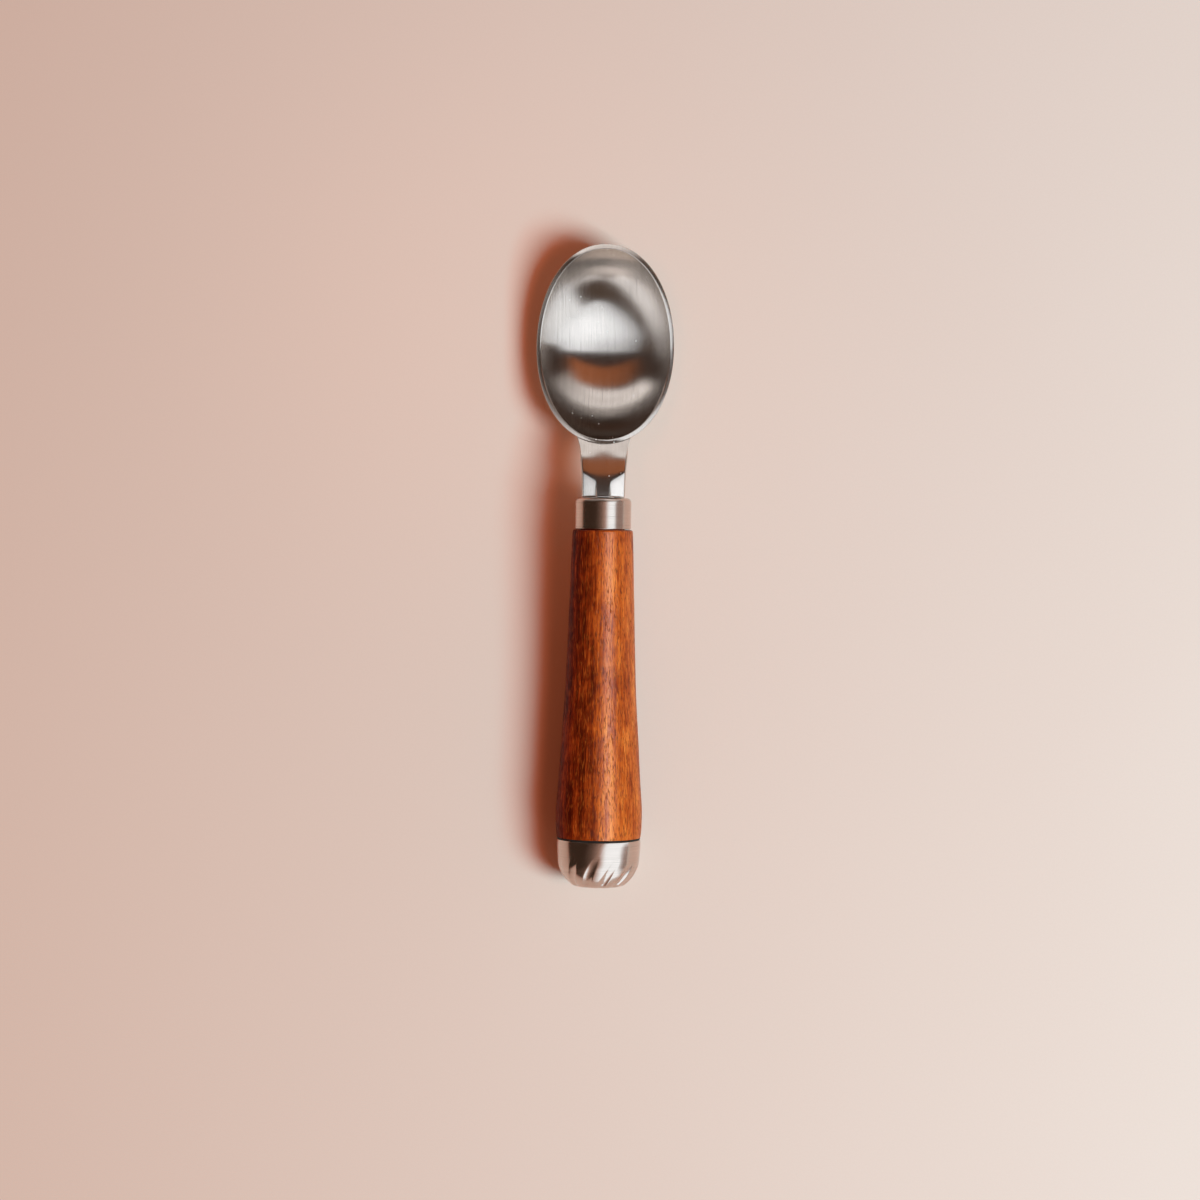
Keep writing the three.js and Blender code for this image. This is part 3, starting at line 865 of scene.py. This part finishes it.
# ---------------------------------------------------------------- rod
def build_rod():
    sides = 40
    b = Builder(handle_point)

    def ring(radius, u):
        pts = []
        for j in range(sides):
            ph = 2 * math.pi * j / sides
            r = radius(u, ph) if callable(radius) else radius
            pts.append((r * math.sin(ph), u, r * math.cos(ph)))
        return b.ring(pts)

    nose = FERRULE_LENGTH + SOCKET_DEPTH
    plain = [
        (ROD_NOSE - 0.3, nose - 0.3), (ROD_NOSE, nose - 0.6), (ROD_NOSE, 11.0), (ROD_NOSE, 7.4), (ROD_SHANK, 6.9),
        (ROD_SHANK, 6.5), (ROD_SHANK, -40.0), (ROD_SHANK, -91.8), (ROD_SHANK, THREAD_START + 1.0),
        (2.5, THREAD_START + 0.55), (2.46, THREAD_START + 0.2),
    ]
    first = prev = ring(*plain[0])
    for r, u in plain[1:]:
        nxt = ring(r, u)
        b.bridge(prev, nxt)
        prev = nxt
    last = ROD_END + 0.5
    count = round((THREAD_START - last) * 14)
    for i in range(count + 1):
        u = THREAD_START - (THREAD_START - last) * i / count
        fade = min(1.0, i / 10)

        def radius(u, ph):
            return 2.46 * (1 - fade) + fade * thread_radius(THREAD_MEAN, THREAD_HALF_DEPTH, u, ph)

        nxt = ring(radius, u)
        b.bridge(prev, nxt)
        prev = nxt
    for r, u in ((2.42, ROD_END + 0.34), (2.2, ROD_END + 0.05), (2.1, ROD_END), (1.0, ROD_END)):
        nxt = ring(r, u)
        b.bridge(prev, nxt)
        prev = nxt
    b.cap(prev, (0, ROD_END, 0))
    b.cap(first, (0, nose - 0.3, 0))
    return piece("tie_rod_fine", b.points, b.faces, hardware_steel, "scoop", ["tie_rod"], 45)


build_rod()

# ---------------------------------------------------------------- washer and nut
pocket = -GRIP_LENGTH + NUT_POCKET_DEPTH
washer_top = pocket - 0.1
lock_top = washer_top - 1.4 - 0.1
nut_top = lock_top - 1.5 - 0.1
turned(
    "flat_washer_fine",
    fillet([(3.25, washer_top), (7.8, washer_top), (7.8, washer_top - 1.4), (3.25, washer_top - 1.4)], {0: 0.12, 1: 0.3, 2: 0.3, 3: 0.12}, 4),
    96, hardware_steel, "scoop", ["flat_washer"],
)


def build_nut():
    cols = 96
    b = Builder(handle_point)
    thick = 5.0
    flat = 5.0

    def hexed(u):
        depth = min(nut_top - u, u - (nut_top - thick))
        limit = 4.9 + 1.3 / 0.75 * depth
        pts = []
        for j in range(cols):
            ph = 2 * math.pi * (j + 0.5) / cols
            k = ((ph + math.pi / 6) % (math.pi / 3)) - math.pi / 6
            r = min(flat / math.cos(k) - 0.05 * smooth(0.44, 0.53, abs(k)), limit)
            a = ph + math.pi / 6
            pts.append((r * math.sin(a), u, r * math.cos(a)))
        return b.ring(pts)

    def bore(u, extra=0.0):
        pts = []
        for j in range(cols):
            ph = 2 * math.pi * (j + 0.5) / cols
            a = ph + math.pi / 6
            r = thread_radius(THREAD_MEAN + THREAD_CLEARANCE, THREAD_HALF_DEPTH, u, a) + extra
            pts.append((r * math.sin(a), u, r * math.cos(a)))
        return b.ring(pts)

    levels = [0.0, 0.12, 0.25, 0.38, 0.5, 0.65, 0.9, 1.6, 2.5, 3.4, 4.1, 4.35, 4.5, 4.62, 4.75, 4.88, 5.0]
    rings = [hexed(nut_top - d) for d in levels]
    inner = [bore(nut_top - thick, 0.35)]
    count = 56
    for i in range(count + 1):
        inner.append(bore(nut_top - thick + 0.3 + (thick - 0.6) * i / count))
    inner.append(bore(nut_top, 0.35))
    loop = rings + inner
    for i in range(len(loop)):
        b.bridge(loop[i], loop[(i + 1) % len(loop)])
    return piece("clamp_nut_fine", b.points, b.faces, hardware_steel, "scoop", ["clamp_nut"], 30)


build_nut()

# ---------------------------------------------------------------- gasket and pommel
gasket_top = -GRIP_LENGTH - 0.1
turned(
    "pommel_gasket_fine",
    fillet(
        [(3.5, gasket_top), (8.0, gasket_top), (GASKET_RADIUS, gasket_top), (GASKET_RADIUS, gasket_top - GASKET_THICK), (8.0, gasket_top - GASKET_THICK), (3.5, gasket_top - GASKET_THICK)],
        {2: 0.12, 3: 0.12}, 4,
    ),
    160, black, "gasket", ["pommel_gasket"],
)

pommel_radius = curve(
    [
        (-116.7, 7.6), (-116.4, 8.5), (-115.9, 9.2), (-115.2, 9.95), (-114.1, 10.95), (-112.7, 11.9), (-111.2, 12.6),
        (-109.5, 13.2), (-107.0, 13.52), (-104.3, 13.72), (-102.4, 13.76), (-101.3, 13.66),
    ]
)


def build_pommel():
    b = Builder(handle_point)
    shares = [k / 8 for k in range(-8, 9)]  # across one flute
    lands = [k / 8 for k in range(1, 8)]  # across the land beside it

    def ring(u, scale=1.0, flat=None):
        run = min(1.0, max(0.0, (FLUTE_START - u) / (FLUTE_START + 114.5)))
        half = FLUTE_HALF_ANGLE * (0.35 + 0.65 * run**0.6)
        depth = FLUTE_DEPTH * smooth(0, 1, run) * (1 - 0.55 * smooth(-114.9, -116.7, u))
        lead = FLUTE_PHASE + FLUTE_TWIST * (u - POMMEL_FRONT)
        pts = []
        for k in range(FLUTES):
            middle = k / FLUTES * 2 * math.pi + lead
            for s in shares:
                r = (pommel_radius(u) - depth * (1 - s * s)) * scale
                a = middle + s * half
                pts.append((r * math.sin(a), u if flat is None else flat, r * math.cos(a)))
            start, end = middle + half, middle + 2 * math.pi / FLUTES - half
            for s in lands:
                a = start + (end - start) * s
                r = pommel_radius(u) * scale
                pts.append((r * math.sin(a), u if flat is None else flat, r * math.cos(a)))
        return pts

    count = len(ring(-105))
    us = list(np.linspace(-101.8, -105.5, 7)) + list(np.linspace(-106.0, -113.6, 32)) + list(np.linspace(-113.85, -116.4, 18))
    # front edge, from the bearing face out
    first = b.ring([(x * 0.96, POMMEL_FRONT, w * 0.96) for x, u, w in ring(POMMEL_FRONT)])
    prev = first
    for scale, u in ((0.985, POMMEL_FRONT), (0.996, POMMEL_FRONT - 0.06), (1.0, POMMEL_FRONT - 0.2)):
        nxt = b.ring([(x * scale, u, w * scale) for x, _, w in ring(u)])
        b.bridge(prev, nxt)
        prev = nxt
    for u in us:
        nxt = b.ring(ring(u))
        b.bridge(prev, nxt)
        prev = nxt
    for scale, flat in ((0.985, -116.62), (0.95, POMMEL_END), (0.8, POMMEL_END), (0.5, POMMEL_END), (0.2, POMMEL_END)):
        nxt = b.ring(ring(-116.55, scale, flat))
        b.bridge(prev, nxt)
        prev = nxt
    b.cap(prev, (0, POMMEL_END, 0))

    # tapped bore
    lead = FLUTE_PHASE
    angles = [math.atan2(x, w) for x, _, w in ring(POMMEL_FRONT)]

    def bore(u, radius=None):
        pts = []
        for a in angles:
            r = radius if radius else thread_radius(THREAD_MEAN + THREAD_CLEARANCE, THREAD_HALF_DEPTH, u, a)
            pts.append((r * math.sin(a), u, r * math.cos(a)))
        return b.ring(pts)

    prev = first
    for radius in (11.5, 9.0, 6.0, 3.85):
        nxt = bore(POMMEL_FRONT, radius)
        b.bridge(prev, nxt)
        prev = nxt
    nxt = bore(POMMEL_FRONT - 0.45, 3.4)
    b.bridge(prev, nxt)
    prev = nxt
    steps = 110
    for i in range(steps + 1):
        u = POMMEL_FRONT - 0.6 - (POMMEL_FRONT - 0.6 - POMMEL_BORE_END) * i / steps
        nxt = bore(u)
        b.bridge(prev, nxt)
        prev = nxt
    b.cap(prev, (0, POMMEL_BORE_END, 0))
    return piece("pommel_fine", b.points, b.faces, pommel_steel, "pommel", ["pommel"], 40)


build_pommel()

# ---------------------------------------------------------------- carried-over CAD nodes
for name, mat in (("lock_washer", hardware_steel), ("index_dowel", hardware_steel), ("neck_seal", black)):
    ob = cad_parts[name]
    ob.data.materials.clear()
    ob.data.materials.append(mat)

# ---------------------------------------------------------------- floor
def floor_material():
    m, t, bsdf = new_material("pale_floor")
    co = node(t, "ShaderNodeTexCoord").outputs["Object"]
    s = node(t, "ShaderNodeSeparateXYZ")
    link(t, co, s.inputs[0])
    fine = noise(t, co, 1400.0, 3.0, 0.6)
    slow = noise(t, co, 9.0, 2.0, 0.5)
    # painted light and shade: the floor runs from darker and pinker at -X to paler and brighter at +X
    painted_light_drift = remap(t, s.outputs[0], -0.24, 0.24)
    col = mix_colour(t, painted_light_drift, (0.735, 0.533, 0.446), (0.772, 0.672, 0.622))
    col = mix_colour(t, remap(t, slow, 0.3, 0.7, 0.0, 0.06), col, (0.70, 0.53, 0.45))
    col = mix_colour(t, remap(t, fine, 0.35, 0.7, 0.0, 0.06), col, (0.60, 0.45, 0.39))
    link(t, col, bsdf.inputs["Base Color"])
    link(t, remap(t, fine, 0.3, 0.7, 0.42, 0.52), bsdf.inputs["Roughness"])
    bump = node(t, "ShaderNodeBump")
    bump.inputs["Strength"].default_value = 0.08
    bump.inputs["Distance"].default_value = 1.0e-4
    link(t, fine, bump.inputs["Height"])
    link(t, bump.outputs[0], bsdf.inputs["Normal"])
    # far from the scoop the floor runs out into the backdrop, and from below it hides nothing
    span = node(t, "ShaderNodeVectorMath", operation="LENGTH")
    link(t, co, span.inputs[0])
    seen = node(t, "ShaderNodeLightPath").outputs["Is Camera Ray"]
    out = next(n for n in t.nodes if n.type == "OUTPUT_MATERIAL")
    fade = node(t, "ShaderNodeMixShader")
    far = remap(t, span.outputs["Value"], 0.45, 1.25, 0.0, 1.0, True)
    clear = math_node(t, "MAXIMUM", far, node(t, "ShaderNodeNewGeometry").outputs["Backfacing"])
    link(t, math_node(t, "MULTIPLY", clear, seen), fade.inputs[0])
    link(t, bsdf.outputs[0], fade.inputs[1])
    link(t, node(t, "ShaderNodeBsdfTransparent").outputs[0], fade.inputs[2])
    link(t, fade.outputs[0], out.inputs[0])
    return m


me = bpy.data.meshes.new("floor")
me.from_pydata([(-3, -3, 0), (3, -3, 0), (3, 3, 0), (-3, 3, 0)], [], [(0, 1, 2, 3)])
me.materials.append(floor_material())
floor = bpy.data.objects.new("floor", me)
floor.location.z = -1.0e-5
scene.collection.objects.link(floor)
floor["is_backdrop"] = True

# ---------------------------------------------------------------- light
def area(name, centre, target, size_x, size_y, power, colour):
    data = bpy.data.lights.new(name, "AREA")
    data.shape = "RECTANGLE"
    data.size, data.size_y = size_x, size_y
    data.energy = power
    data.color = colour
    ob = bpy.data.objects.new(name, data)
    ob.location = centre
    ob.rotation_euler = (Vector(target) - Vector(centre)).to_track_quat("-Z", "Y").to_euler()
    scene.collection.objects.link(ob)
    return ob


window = area("window", (1.05, -0.52, 1.60), (0.0, 0.0, 0.0), 0.62, 0.85, 44.3, (0.243, 0.883, 1.0))
warm = area("warm", (0.81, -0.42, 1.60), (0.0, 0.0, 0.0), 0.62, 0.85, 20.2, (1.0, 0.277, 0.151))


def spot(name, centre, target, angle, power, colour, size):
    data = bpy.data.lights.new(name, "SPOT")
    data.energy = power
    data.color = colour
    data.spot_size, data.spot_blend, data.shadow_soft_size = math.radians(angle), 1.0, size
    ob = bpy.data.objects.new(name, data)
    ob.location = centre
    ob.rotation_euler = (Vector(target) - Vector(centre)).to_track_quat("-Z", "Y").to_euler()
    scene.collection.objects.link(ob)
    ob.visible_glossy = False
    return ob


# light that bowl and neck throw back on the table beside them
spot("bounce_bowl", (-0.11, 0.09, 0.42), (-0.03, 0.085, 0.0), 34, 0.42, (1.0, 0.45, 0.24), 0.05)
spot("bounce_neck", (-0.06, 0.0355, 0.30), (-0.003, 0.0355, 0.0), 5.4, 1.05, (1.0, 0.42, 0.24), 0.004)
window.visible_glossy = warm.visible_glossy = False  # their reflection is painted on the shells below


class Sky:
    """Directions on a far shell round the scoop, and soft shapes to paint on it."""

    def __init__(self, t):
        self.t = t
        unit = node(t, "ShaderNodeVectorMath", operation="NORMALIZE")
        link(t, node(t, "ShaderNodeTexCoord").outputs["Object"], unit.inputs[0])
        sep = node(t, "ShaderNodeSeparateXYZ")
        link(t, unit.outputs[0], sep.inputs[0])
        self.dx, self.dy, self.dz = dx, dy, dz = sep.outputs
        self.ax = math_node(t, "ARCTAN2", dx, dz)  # angle off the zenith towards +X
        self.ay = math_node(t, "ARCTAN2", dy, dz)  # and towards +Y
        self.zen = math_node(t, "ARCCOSINE", dz)
        self.ahead = math_node(t, "ARCTAN2", dx, dy)  # bearing from +Y towards +X
        self.behind = math_node(t, "ARCTAN2", dx, math_node(t, "MULTIPLY", dy, -1.0))  # bearing from -Y towards +X
        bounces = node(t, "ShaderNodeLightPath").outputs["Ray Depth"]
        self.again = math_node(t, "GREATER_THAN", bounces, 1.5)  # steel seen in steel

    def step(self, v, lo, hi):
        """0 to 1 between two angles in degrees, or 1 to 0 if they fall."""
        if lo < hi:
            return remap(self.t, v, math.radians(lo), math.radians(hi), 0, 1, True)
        return remap(self.t, v, math.radians(hi), math.radians(lo), 1, 0, True)

    def between(self, v, lo, hi, edge, edge_hi=None):
        """1 where lo < v < hi, in degrees, with soft edges."""
        edge_hi = edge if edge_hi is None else edge_hi
        return self.both(self.step(v, lo - edge, lo + edge), self.step(v, hi + edge_hi, hi - edge_hi))

    def both(self, *parts):
        out = parts[0]
        for p in parts[1:]:
            out = math_node(self.t, "MULTIPLY", out, p)
        return out

    def level(self, v, stops, scale=math.pi / 180):
        """Value over an angle in degrees, straight between its stops."""
        lo, hi = stops[0][0], stops[-1][0]
        share = remap(self.t, v, lo * scale, hi * scale)
        return ramp(self.t, share, [((d - lo) / (hi - lo), (k, k, k)) for d, k in stops], "LINEAR")

    def above(self, bearing, stops):
        """Zenith angle past a limit that changes with the bearing, in radians."""
        limit = self.both(self.level(bearing, [(d, k / 100) for d, k in stops]), 100 * math.pi / 180)
        return math_node(self.t, "SUBTRACT", self.zen, limit)

    def lit(self, strength, colour):
        return mix_colour(self.t, 1.0, strength, colour, "MULTIPLY")

    def over(self, mask, below, colour):
        return mix_colour(self.t, mask, below, colour)

    def offset(self, v, middle, half):
        return math_node(self.t, "DIVIDE", math_node(self.t, "SUBTRACT", v, math.radians(middle)), math.radians(half))

    def square(self, v):
        return math_node(self.t, "MULTIPLY", v, v)


def head_room(s):
    """What the bowl and neck reflect: a bright window overhead, pale walls low round it, a wooden beam ahead."""
    t = s.t
    under = remap(t, s.dy, 0.115, 0.158, 1, 0, True)  # the window's sharp upper edge
    room = s.over(under, (0.012, 0.012, 0.014), (0.045, 0.032, 0.024))
    # low wall behind the handle and round to -X
    rise = s.above(s.behind, [(-110, 76), (-90, 68), (-75, 63.5), (-60, 62), (-40, 62.5), (-20, 67), (0, 74), (30, 77), (60, 79)])
    wall = s.lit(s.level(s.behind, [(-110, 0.08), (-90, 0.36), (-75, 0.74), (-50, 1.04), (-20, 0.96), (0, 0.82), (20, 0.66), (60, 0.60)]), (1.10, 1.16, 1.22))
    room = s.over(s.both(s.step(rise, -3.5, 3.5), s.step(s.zen, 104, 94), s.between(s.behind, -105, 60, 8)), room, wall)
    haze = s.lit(s.level(s.behind, [(-110, 0.10), (-85, 0.45), (-55, 1.0), (0, 0.9), (60, 0.9), (110, 0.9)]), (0.52, 0.47, 0.43))
    room = s.over(s.both(s.between(s.zen, 87, 130, 5), s.between(s.behind, -112, 112, 10)), room, haze)
    # wall ahead, and the beam in front of it
    rise = s.above(s.ahead, [(-60, 69), (-45, 63), (-30, 57), (-12, 51), (0, 50), (60, 50)])
    wall = s.lit(s.level(s.ahead, [(-58, 0.85), (-45, 1.28), (-20, 1.08), (0, 1.04), (25, 1.0), (42, 0.65), (60, 0.28)]), (0.98, 1.00, 1.02))
    room = s.over(s.both(s.step(rise, -5, 6), s.step(s.zen, 95, 90), s.between(s.ahead, -54, 58, 6)), room, wall)
    gap = s.both(s.between(s.zen, 63, 68, 2.5), s.between(s.ahead, -40, 40, 12), 0.30)
    room = s.over(gap, room, (0.42, 0.38, 0.36))
    beam = s.lit(s.level(s.ax, [(-55, 0.45), (-20, 0.78), (10, 1.02), (40, 1.2)]), (0.345, 0.112, 0.041))
    low = s.both(s.level(s.ax, [(-60, 0.17), (-30, 0.215), (0, 0.255), (30, 0.225), (60, 0.17)]), math.radians(100))
    past = math_node(t, "SUBTRACT", s.ay, low)  # its lower edge bows
    room = s.over(s.both(s.step(past, -3, 3), s.step(s.ay, 55, 43), s.between(s.ax, -46, 50, 8)), room, beam)
    # window: bright in the middle, fading to -X, with its return on the right
    side = s.both(s.between(s.behind, 40, 130, 8), s.step(s.zen, 42, 54), remap(t, s.dy, 0.03, 0.085, 1, 0, True))
    far = s.lit(remap(t, s.dy, -0.25, 0.0, 1.0, 0.80), (1.16, 1.30, 1.42))
    room = s.over(side, room, far)
    y2 = s.square(s.offset(s.ay, -9, 41))
    room_left = math_node(t, "MAXIMUM", math_node(t, "SUBTRACT", 1.0, y2), 0.02)
    x2 = s.square(s.offset(s.ax, 25, 88))
    glow = math_node(t, "SUBTRACT", 1.0, math_node(t, "DIVIDE", x2, room_left), clamp=True)
    low = s.step(s.ay, -14, 4)
    dim = math_node(t, "SUBTRACT", 1.0, s.both(low, s.level(s.ax, [(-60, 0.32), (10, 0.36), (40, 0.12), (60, 0.20)])))
    fade = math_node(t, "ADD", s.both(s.step(s.ay, -46, -24), 0.28), 0.72)
    pane = s.lit(s.both(glow, dim, fade), (1.50, 1.70, 1.88))
    edge = math_node(t, "SQRT", math_node(t, "ADD", s.square(s.offset(s.ax, 10, 62)), y2))
    room = s.over(s.both(remap(t, edge, 0.93, 1.05, 1, 0, True), under), room, pane)
    # light that the steel has already reflected once: little is left of it
    twice = s.both(s.again, s.level(s.ay, [(-90, 0.70), (-24, 0.70), (-15, 0.40), (-2, 0.40), (7, 0.90), (90, 0.90)]))
    return s.over(twice, room, (0.0, 0.0, 0.0))


def turned_room(right):
    """What a turned piece reflects: dark on the left, the window's strip up to the given limit, then grey."""

    def paint(s):
        t = s.t
        back = math_node(t, "MINIMUM", s.dy, 0.0)
        across = math_node(t, "SUBTRACT", s.dx, math_node(t, "MULTIPLY", back, 0.38))  # the strip leans to the left lower down
        brown = s.lit(s.level(across, [(-1.0, 0.0), (-0.5, 0.0), (-0.25, 0.075), (-0.11, 0.15), (0.025, 0.28), (0.14, 0.42), (0.24, 0.55)], 1.0), (0.926, 0.657, 0.556))
        room = s.over(remap(t, across, 0.17, 0.49, 0, 1, True), brown, (1.28, 1.64, 1.87))
        room = s.over(remap(t, across, right - 0.065, right + 0.065, 0, 1, True), room, (0.33, 0.28, 0.265))
        room = s.over(remap(t, s.dy, 0.30, 0.45), room, (0.02, 0.015, 0.012))
        ahead = s.lit(s.level(s.dx, [(-0.6, 0.30), (-0.2, 0.38), (0.0, 0.62), (0.2, 1.25), (0.45, 1.25), (0.7, 0.8)], 1.0), (0.74, 0.80, 0.83))
        return s.over(s.between(s.zen, 50, 88, 4), room, s.over(remap(t, s.dy, 0.45, 0.60), room, ahead))

    return paint


def grip_room(s):
    """What the oiled wood reflects: the window's strip alone."""
    strip = s.both(s.between(s.ax, 15, 38, 8), remap(s.t, s.dy, 0.30, 0.45, 1, 0))
    return s.lit(strip, (4.4, 9.4, 11.6))


def shell(name, centre, radius, pieces, paint):
    """Far shell that lights only the given pieces and hides nothing."""
    bm = bmesh.new()
    bmesh.ops.create_uvsphere(bm, u_segments=64, v_segments=32, radius=radius)
    me = bpy.data.meshes.new(name)
    bm.to_mesh(me)
    bm.free()
    m = bpy.data.materials.new(name)
    m.use_nodes = True
    t = m.node_tree
    t.nodes.clear()
    glow = node(t, "ShaderNodeEmission")
    link(t, paint(Sky(t)), glow.inputs["Color"])
    add = node(t, "ShaderNodeAddShader")
    link(t, glow.outputs[0], add.inputs[0])
    link(t, node(t, "ShaderNodeBsdfTransparent").outputs[0], add.inputs[1])
    link(t, add.outputs[0], node(t, "ShaderNodeOutputMaterial").inputs[0])
    m.cycles.emission_sampling = "NONE"
    me.materials.append(m)
    ob = bpy.data.objects.new(name, me)
    ob.location = centre
    scene.collection.objects.link(ob)
    ob.visible_camera = ob.visible_diffuse = ob.visible_shadow = False
    ob.visible_transmission = ob.visible_volume_scatter = False
    lights = bpy.data.collections.new(name)
    for p in pieces:
        lights.objects.link(p)
    ob.light_linking.receiver_collection = lights
    ob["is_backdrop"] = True


shown = {o.name: o for o in scene.objects if o.type == "MESH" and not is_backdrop(o) and not o.hide_render}
head = [o for n, o in shown.items() if o.data.materials and o.data.materials[0] == head_steel]
shell("room_over_bowl", (0.0, 0.0723, 0.0), 2.6, head, head_room)
grip = [o for n, o in shown.items() if o.data.materials and o.data.materials[0] == wood]
shell("room_over_grip", (0.0, -0.04, 0.02), 2.5, grip, grip_room)
end = [o for n, o in shown.items() if o.data.materials and o.data.materials[0] == pommel_steel]
shell("room_over_pommel", (0.0, -0.04, 0.02), 2.3, end, turned_room(1.0))
shell("room_over_handle", (0.0, -0.04, 0.02), 2.4, [o for o in shown.values() if o not in head + grip + end], turned_room(0.80))



def low_card(name, theta, share, rise, pieces, glows, through):
    """Card standing in the bowl's mouth: only the wall of the tip mirrors it, from its front."""
    low, high = [], []
    for k in range(41):
        a = math.radians(theta[0] + (theta[1] - theta[0]) * k / 40)
        q = inside(a, share)
        for out, z in ((low, rise[0]), (high, rise[1])):
            out.append((q.x * 1e-3, (q.y + BOWL_CENTRE_Y + 11.66) * 1e-3, z * 1e-3))
    me = bpy.data.meshes.new(name)
    me.from_pydata(low + high, [], [(k, 41 + k, 42 + k, k + 1) for k in range(40)])
    m = bpy.data.materials.new(name)
    m.use_nodes = True
    t = m.node_tree
    t.nodes.clear()
    sep = node(t, "ShaderNodeSeparateXYZ")
    link(t, node(t, "ShaderNodeTexCoord").outputs["Object"], sep.inputs[0])
    front = math_node(t, "SUBTRACT", 1.0, node(t, "ShaderNodeNewGeometry").outputs["Backfacing"])
    glow = node(t, "ShaderNodeEmission")
    glow.inputs["Color"].default_value = (0.98, 0.96, 0.95, 1.0)
    link(t, math_node(t, "MULTIPLY", front, remap(t, sep.outputs[0], -0.010, 0.011, 1.25 * glows, 0.50 * glows)), glow.inputs["Strength"])
    add = node(t, "ShaderNodeAddShader")
    link(t, glow.outputs[0], add.inputs[0])
    clear = node(t, "ShaderNodeBsdfTransparent")
    link(t, math_node(t, "SUBTRACT", 1.0, math_node(t, "MULTIPLY", front, 1.0 - through)), clear.inputs[0])
    link(t, clear.outputs[0], add.inputs[1])
    link(t, add.outputs[0], node(t, "ShaderNodeOutputMaterial").inputs[0])
    m.cycles.emission_sampling = "NONE"
    me.materials.append(m)
    ob = bpy.data.objects.new(name, me)
    scene.collection.objects.link(ob)
    ob.visible_camera = ob.visible_diffuse = ob.visible_shadow = False
    ob.visible_transmission = ob.visible_volume_scatter = False
    lights = bpy.data.collections.new(name)
    for p in pieces:
        lights.objects.link(p)
    ob.light_linking.receiver_collection = lights
    ob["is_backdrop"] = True


low_card("pale_card", (228, 312), 0.60, (13.0, 18.6), head, 1.0, 1.0)
low_card("dim_card", (262, 330), 0.60, (4.0, 12.6), head, 0.0, 0.55)

# Past the shells: dark for reflections, a soft warm fill for matt surfaces, a plain pale backdrop for the camera.
world = bpy.data.worlds.new("studio")
scene.world = world
world.use_nodes = True
wt = world.node_tree
wt.nodes.clear()
w_out = wt.nodes.new("ShaderNodeOutputWorld")
w_bg = wt.nodes.new("ShaderNodeBackground")
link(wt, w_bg.outputs[0], w_out.inputs[0])
light_path = node(wt, "ShaderNodeLightPath")
final = mix_colour(wt, light_path.outputs["Is Diffuse Ray"], (0.050, 0.032, 0.022), (0.297, 0.0825, 0.0374))
final = mix_colour(wt, light_path.outputs["Is Camera Ray"], final, (0.74, 0.60, 0.53))
link(wt, final, w_bg.inputs["Color"])
w_bg.inputs["Strength"].default_value = 1.0

# ---------------------------------------------------------------- camera
cam_data = bpy.data.cameras.new("camera")
cam_data.sensor_width = 36.0
cam_data.lens = 99.285
cam_data.clip_start, cam_data.clip_end = 0.01, 20.0
cam = bpy.data.objects.new("camera", cam_data)
cam.location = (-0.0006, -0.0508, 1.100)
# leans a little towards the bowl, and the scoop lies slightly askew in the frame
cam.rotation_euler = (
    Matrix.Rotation(math.radians(2.088), 3, "X") @ Matrix.Rotation(math.radians(0.8), 3, "Z")
).to_euler()
scene.collection.objects.link(cam)
scene.camera = cam

scene.view_settings.view_transform = "Standard"
scene.view_settings.look = "None"
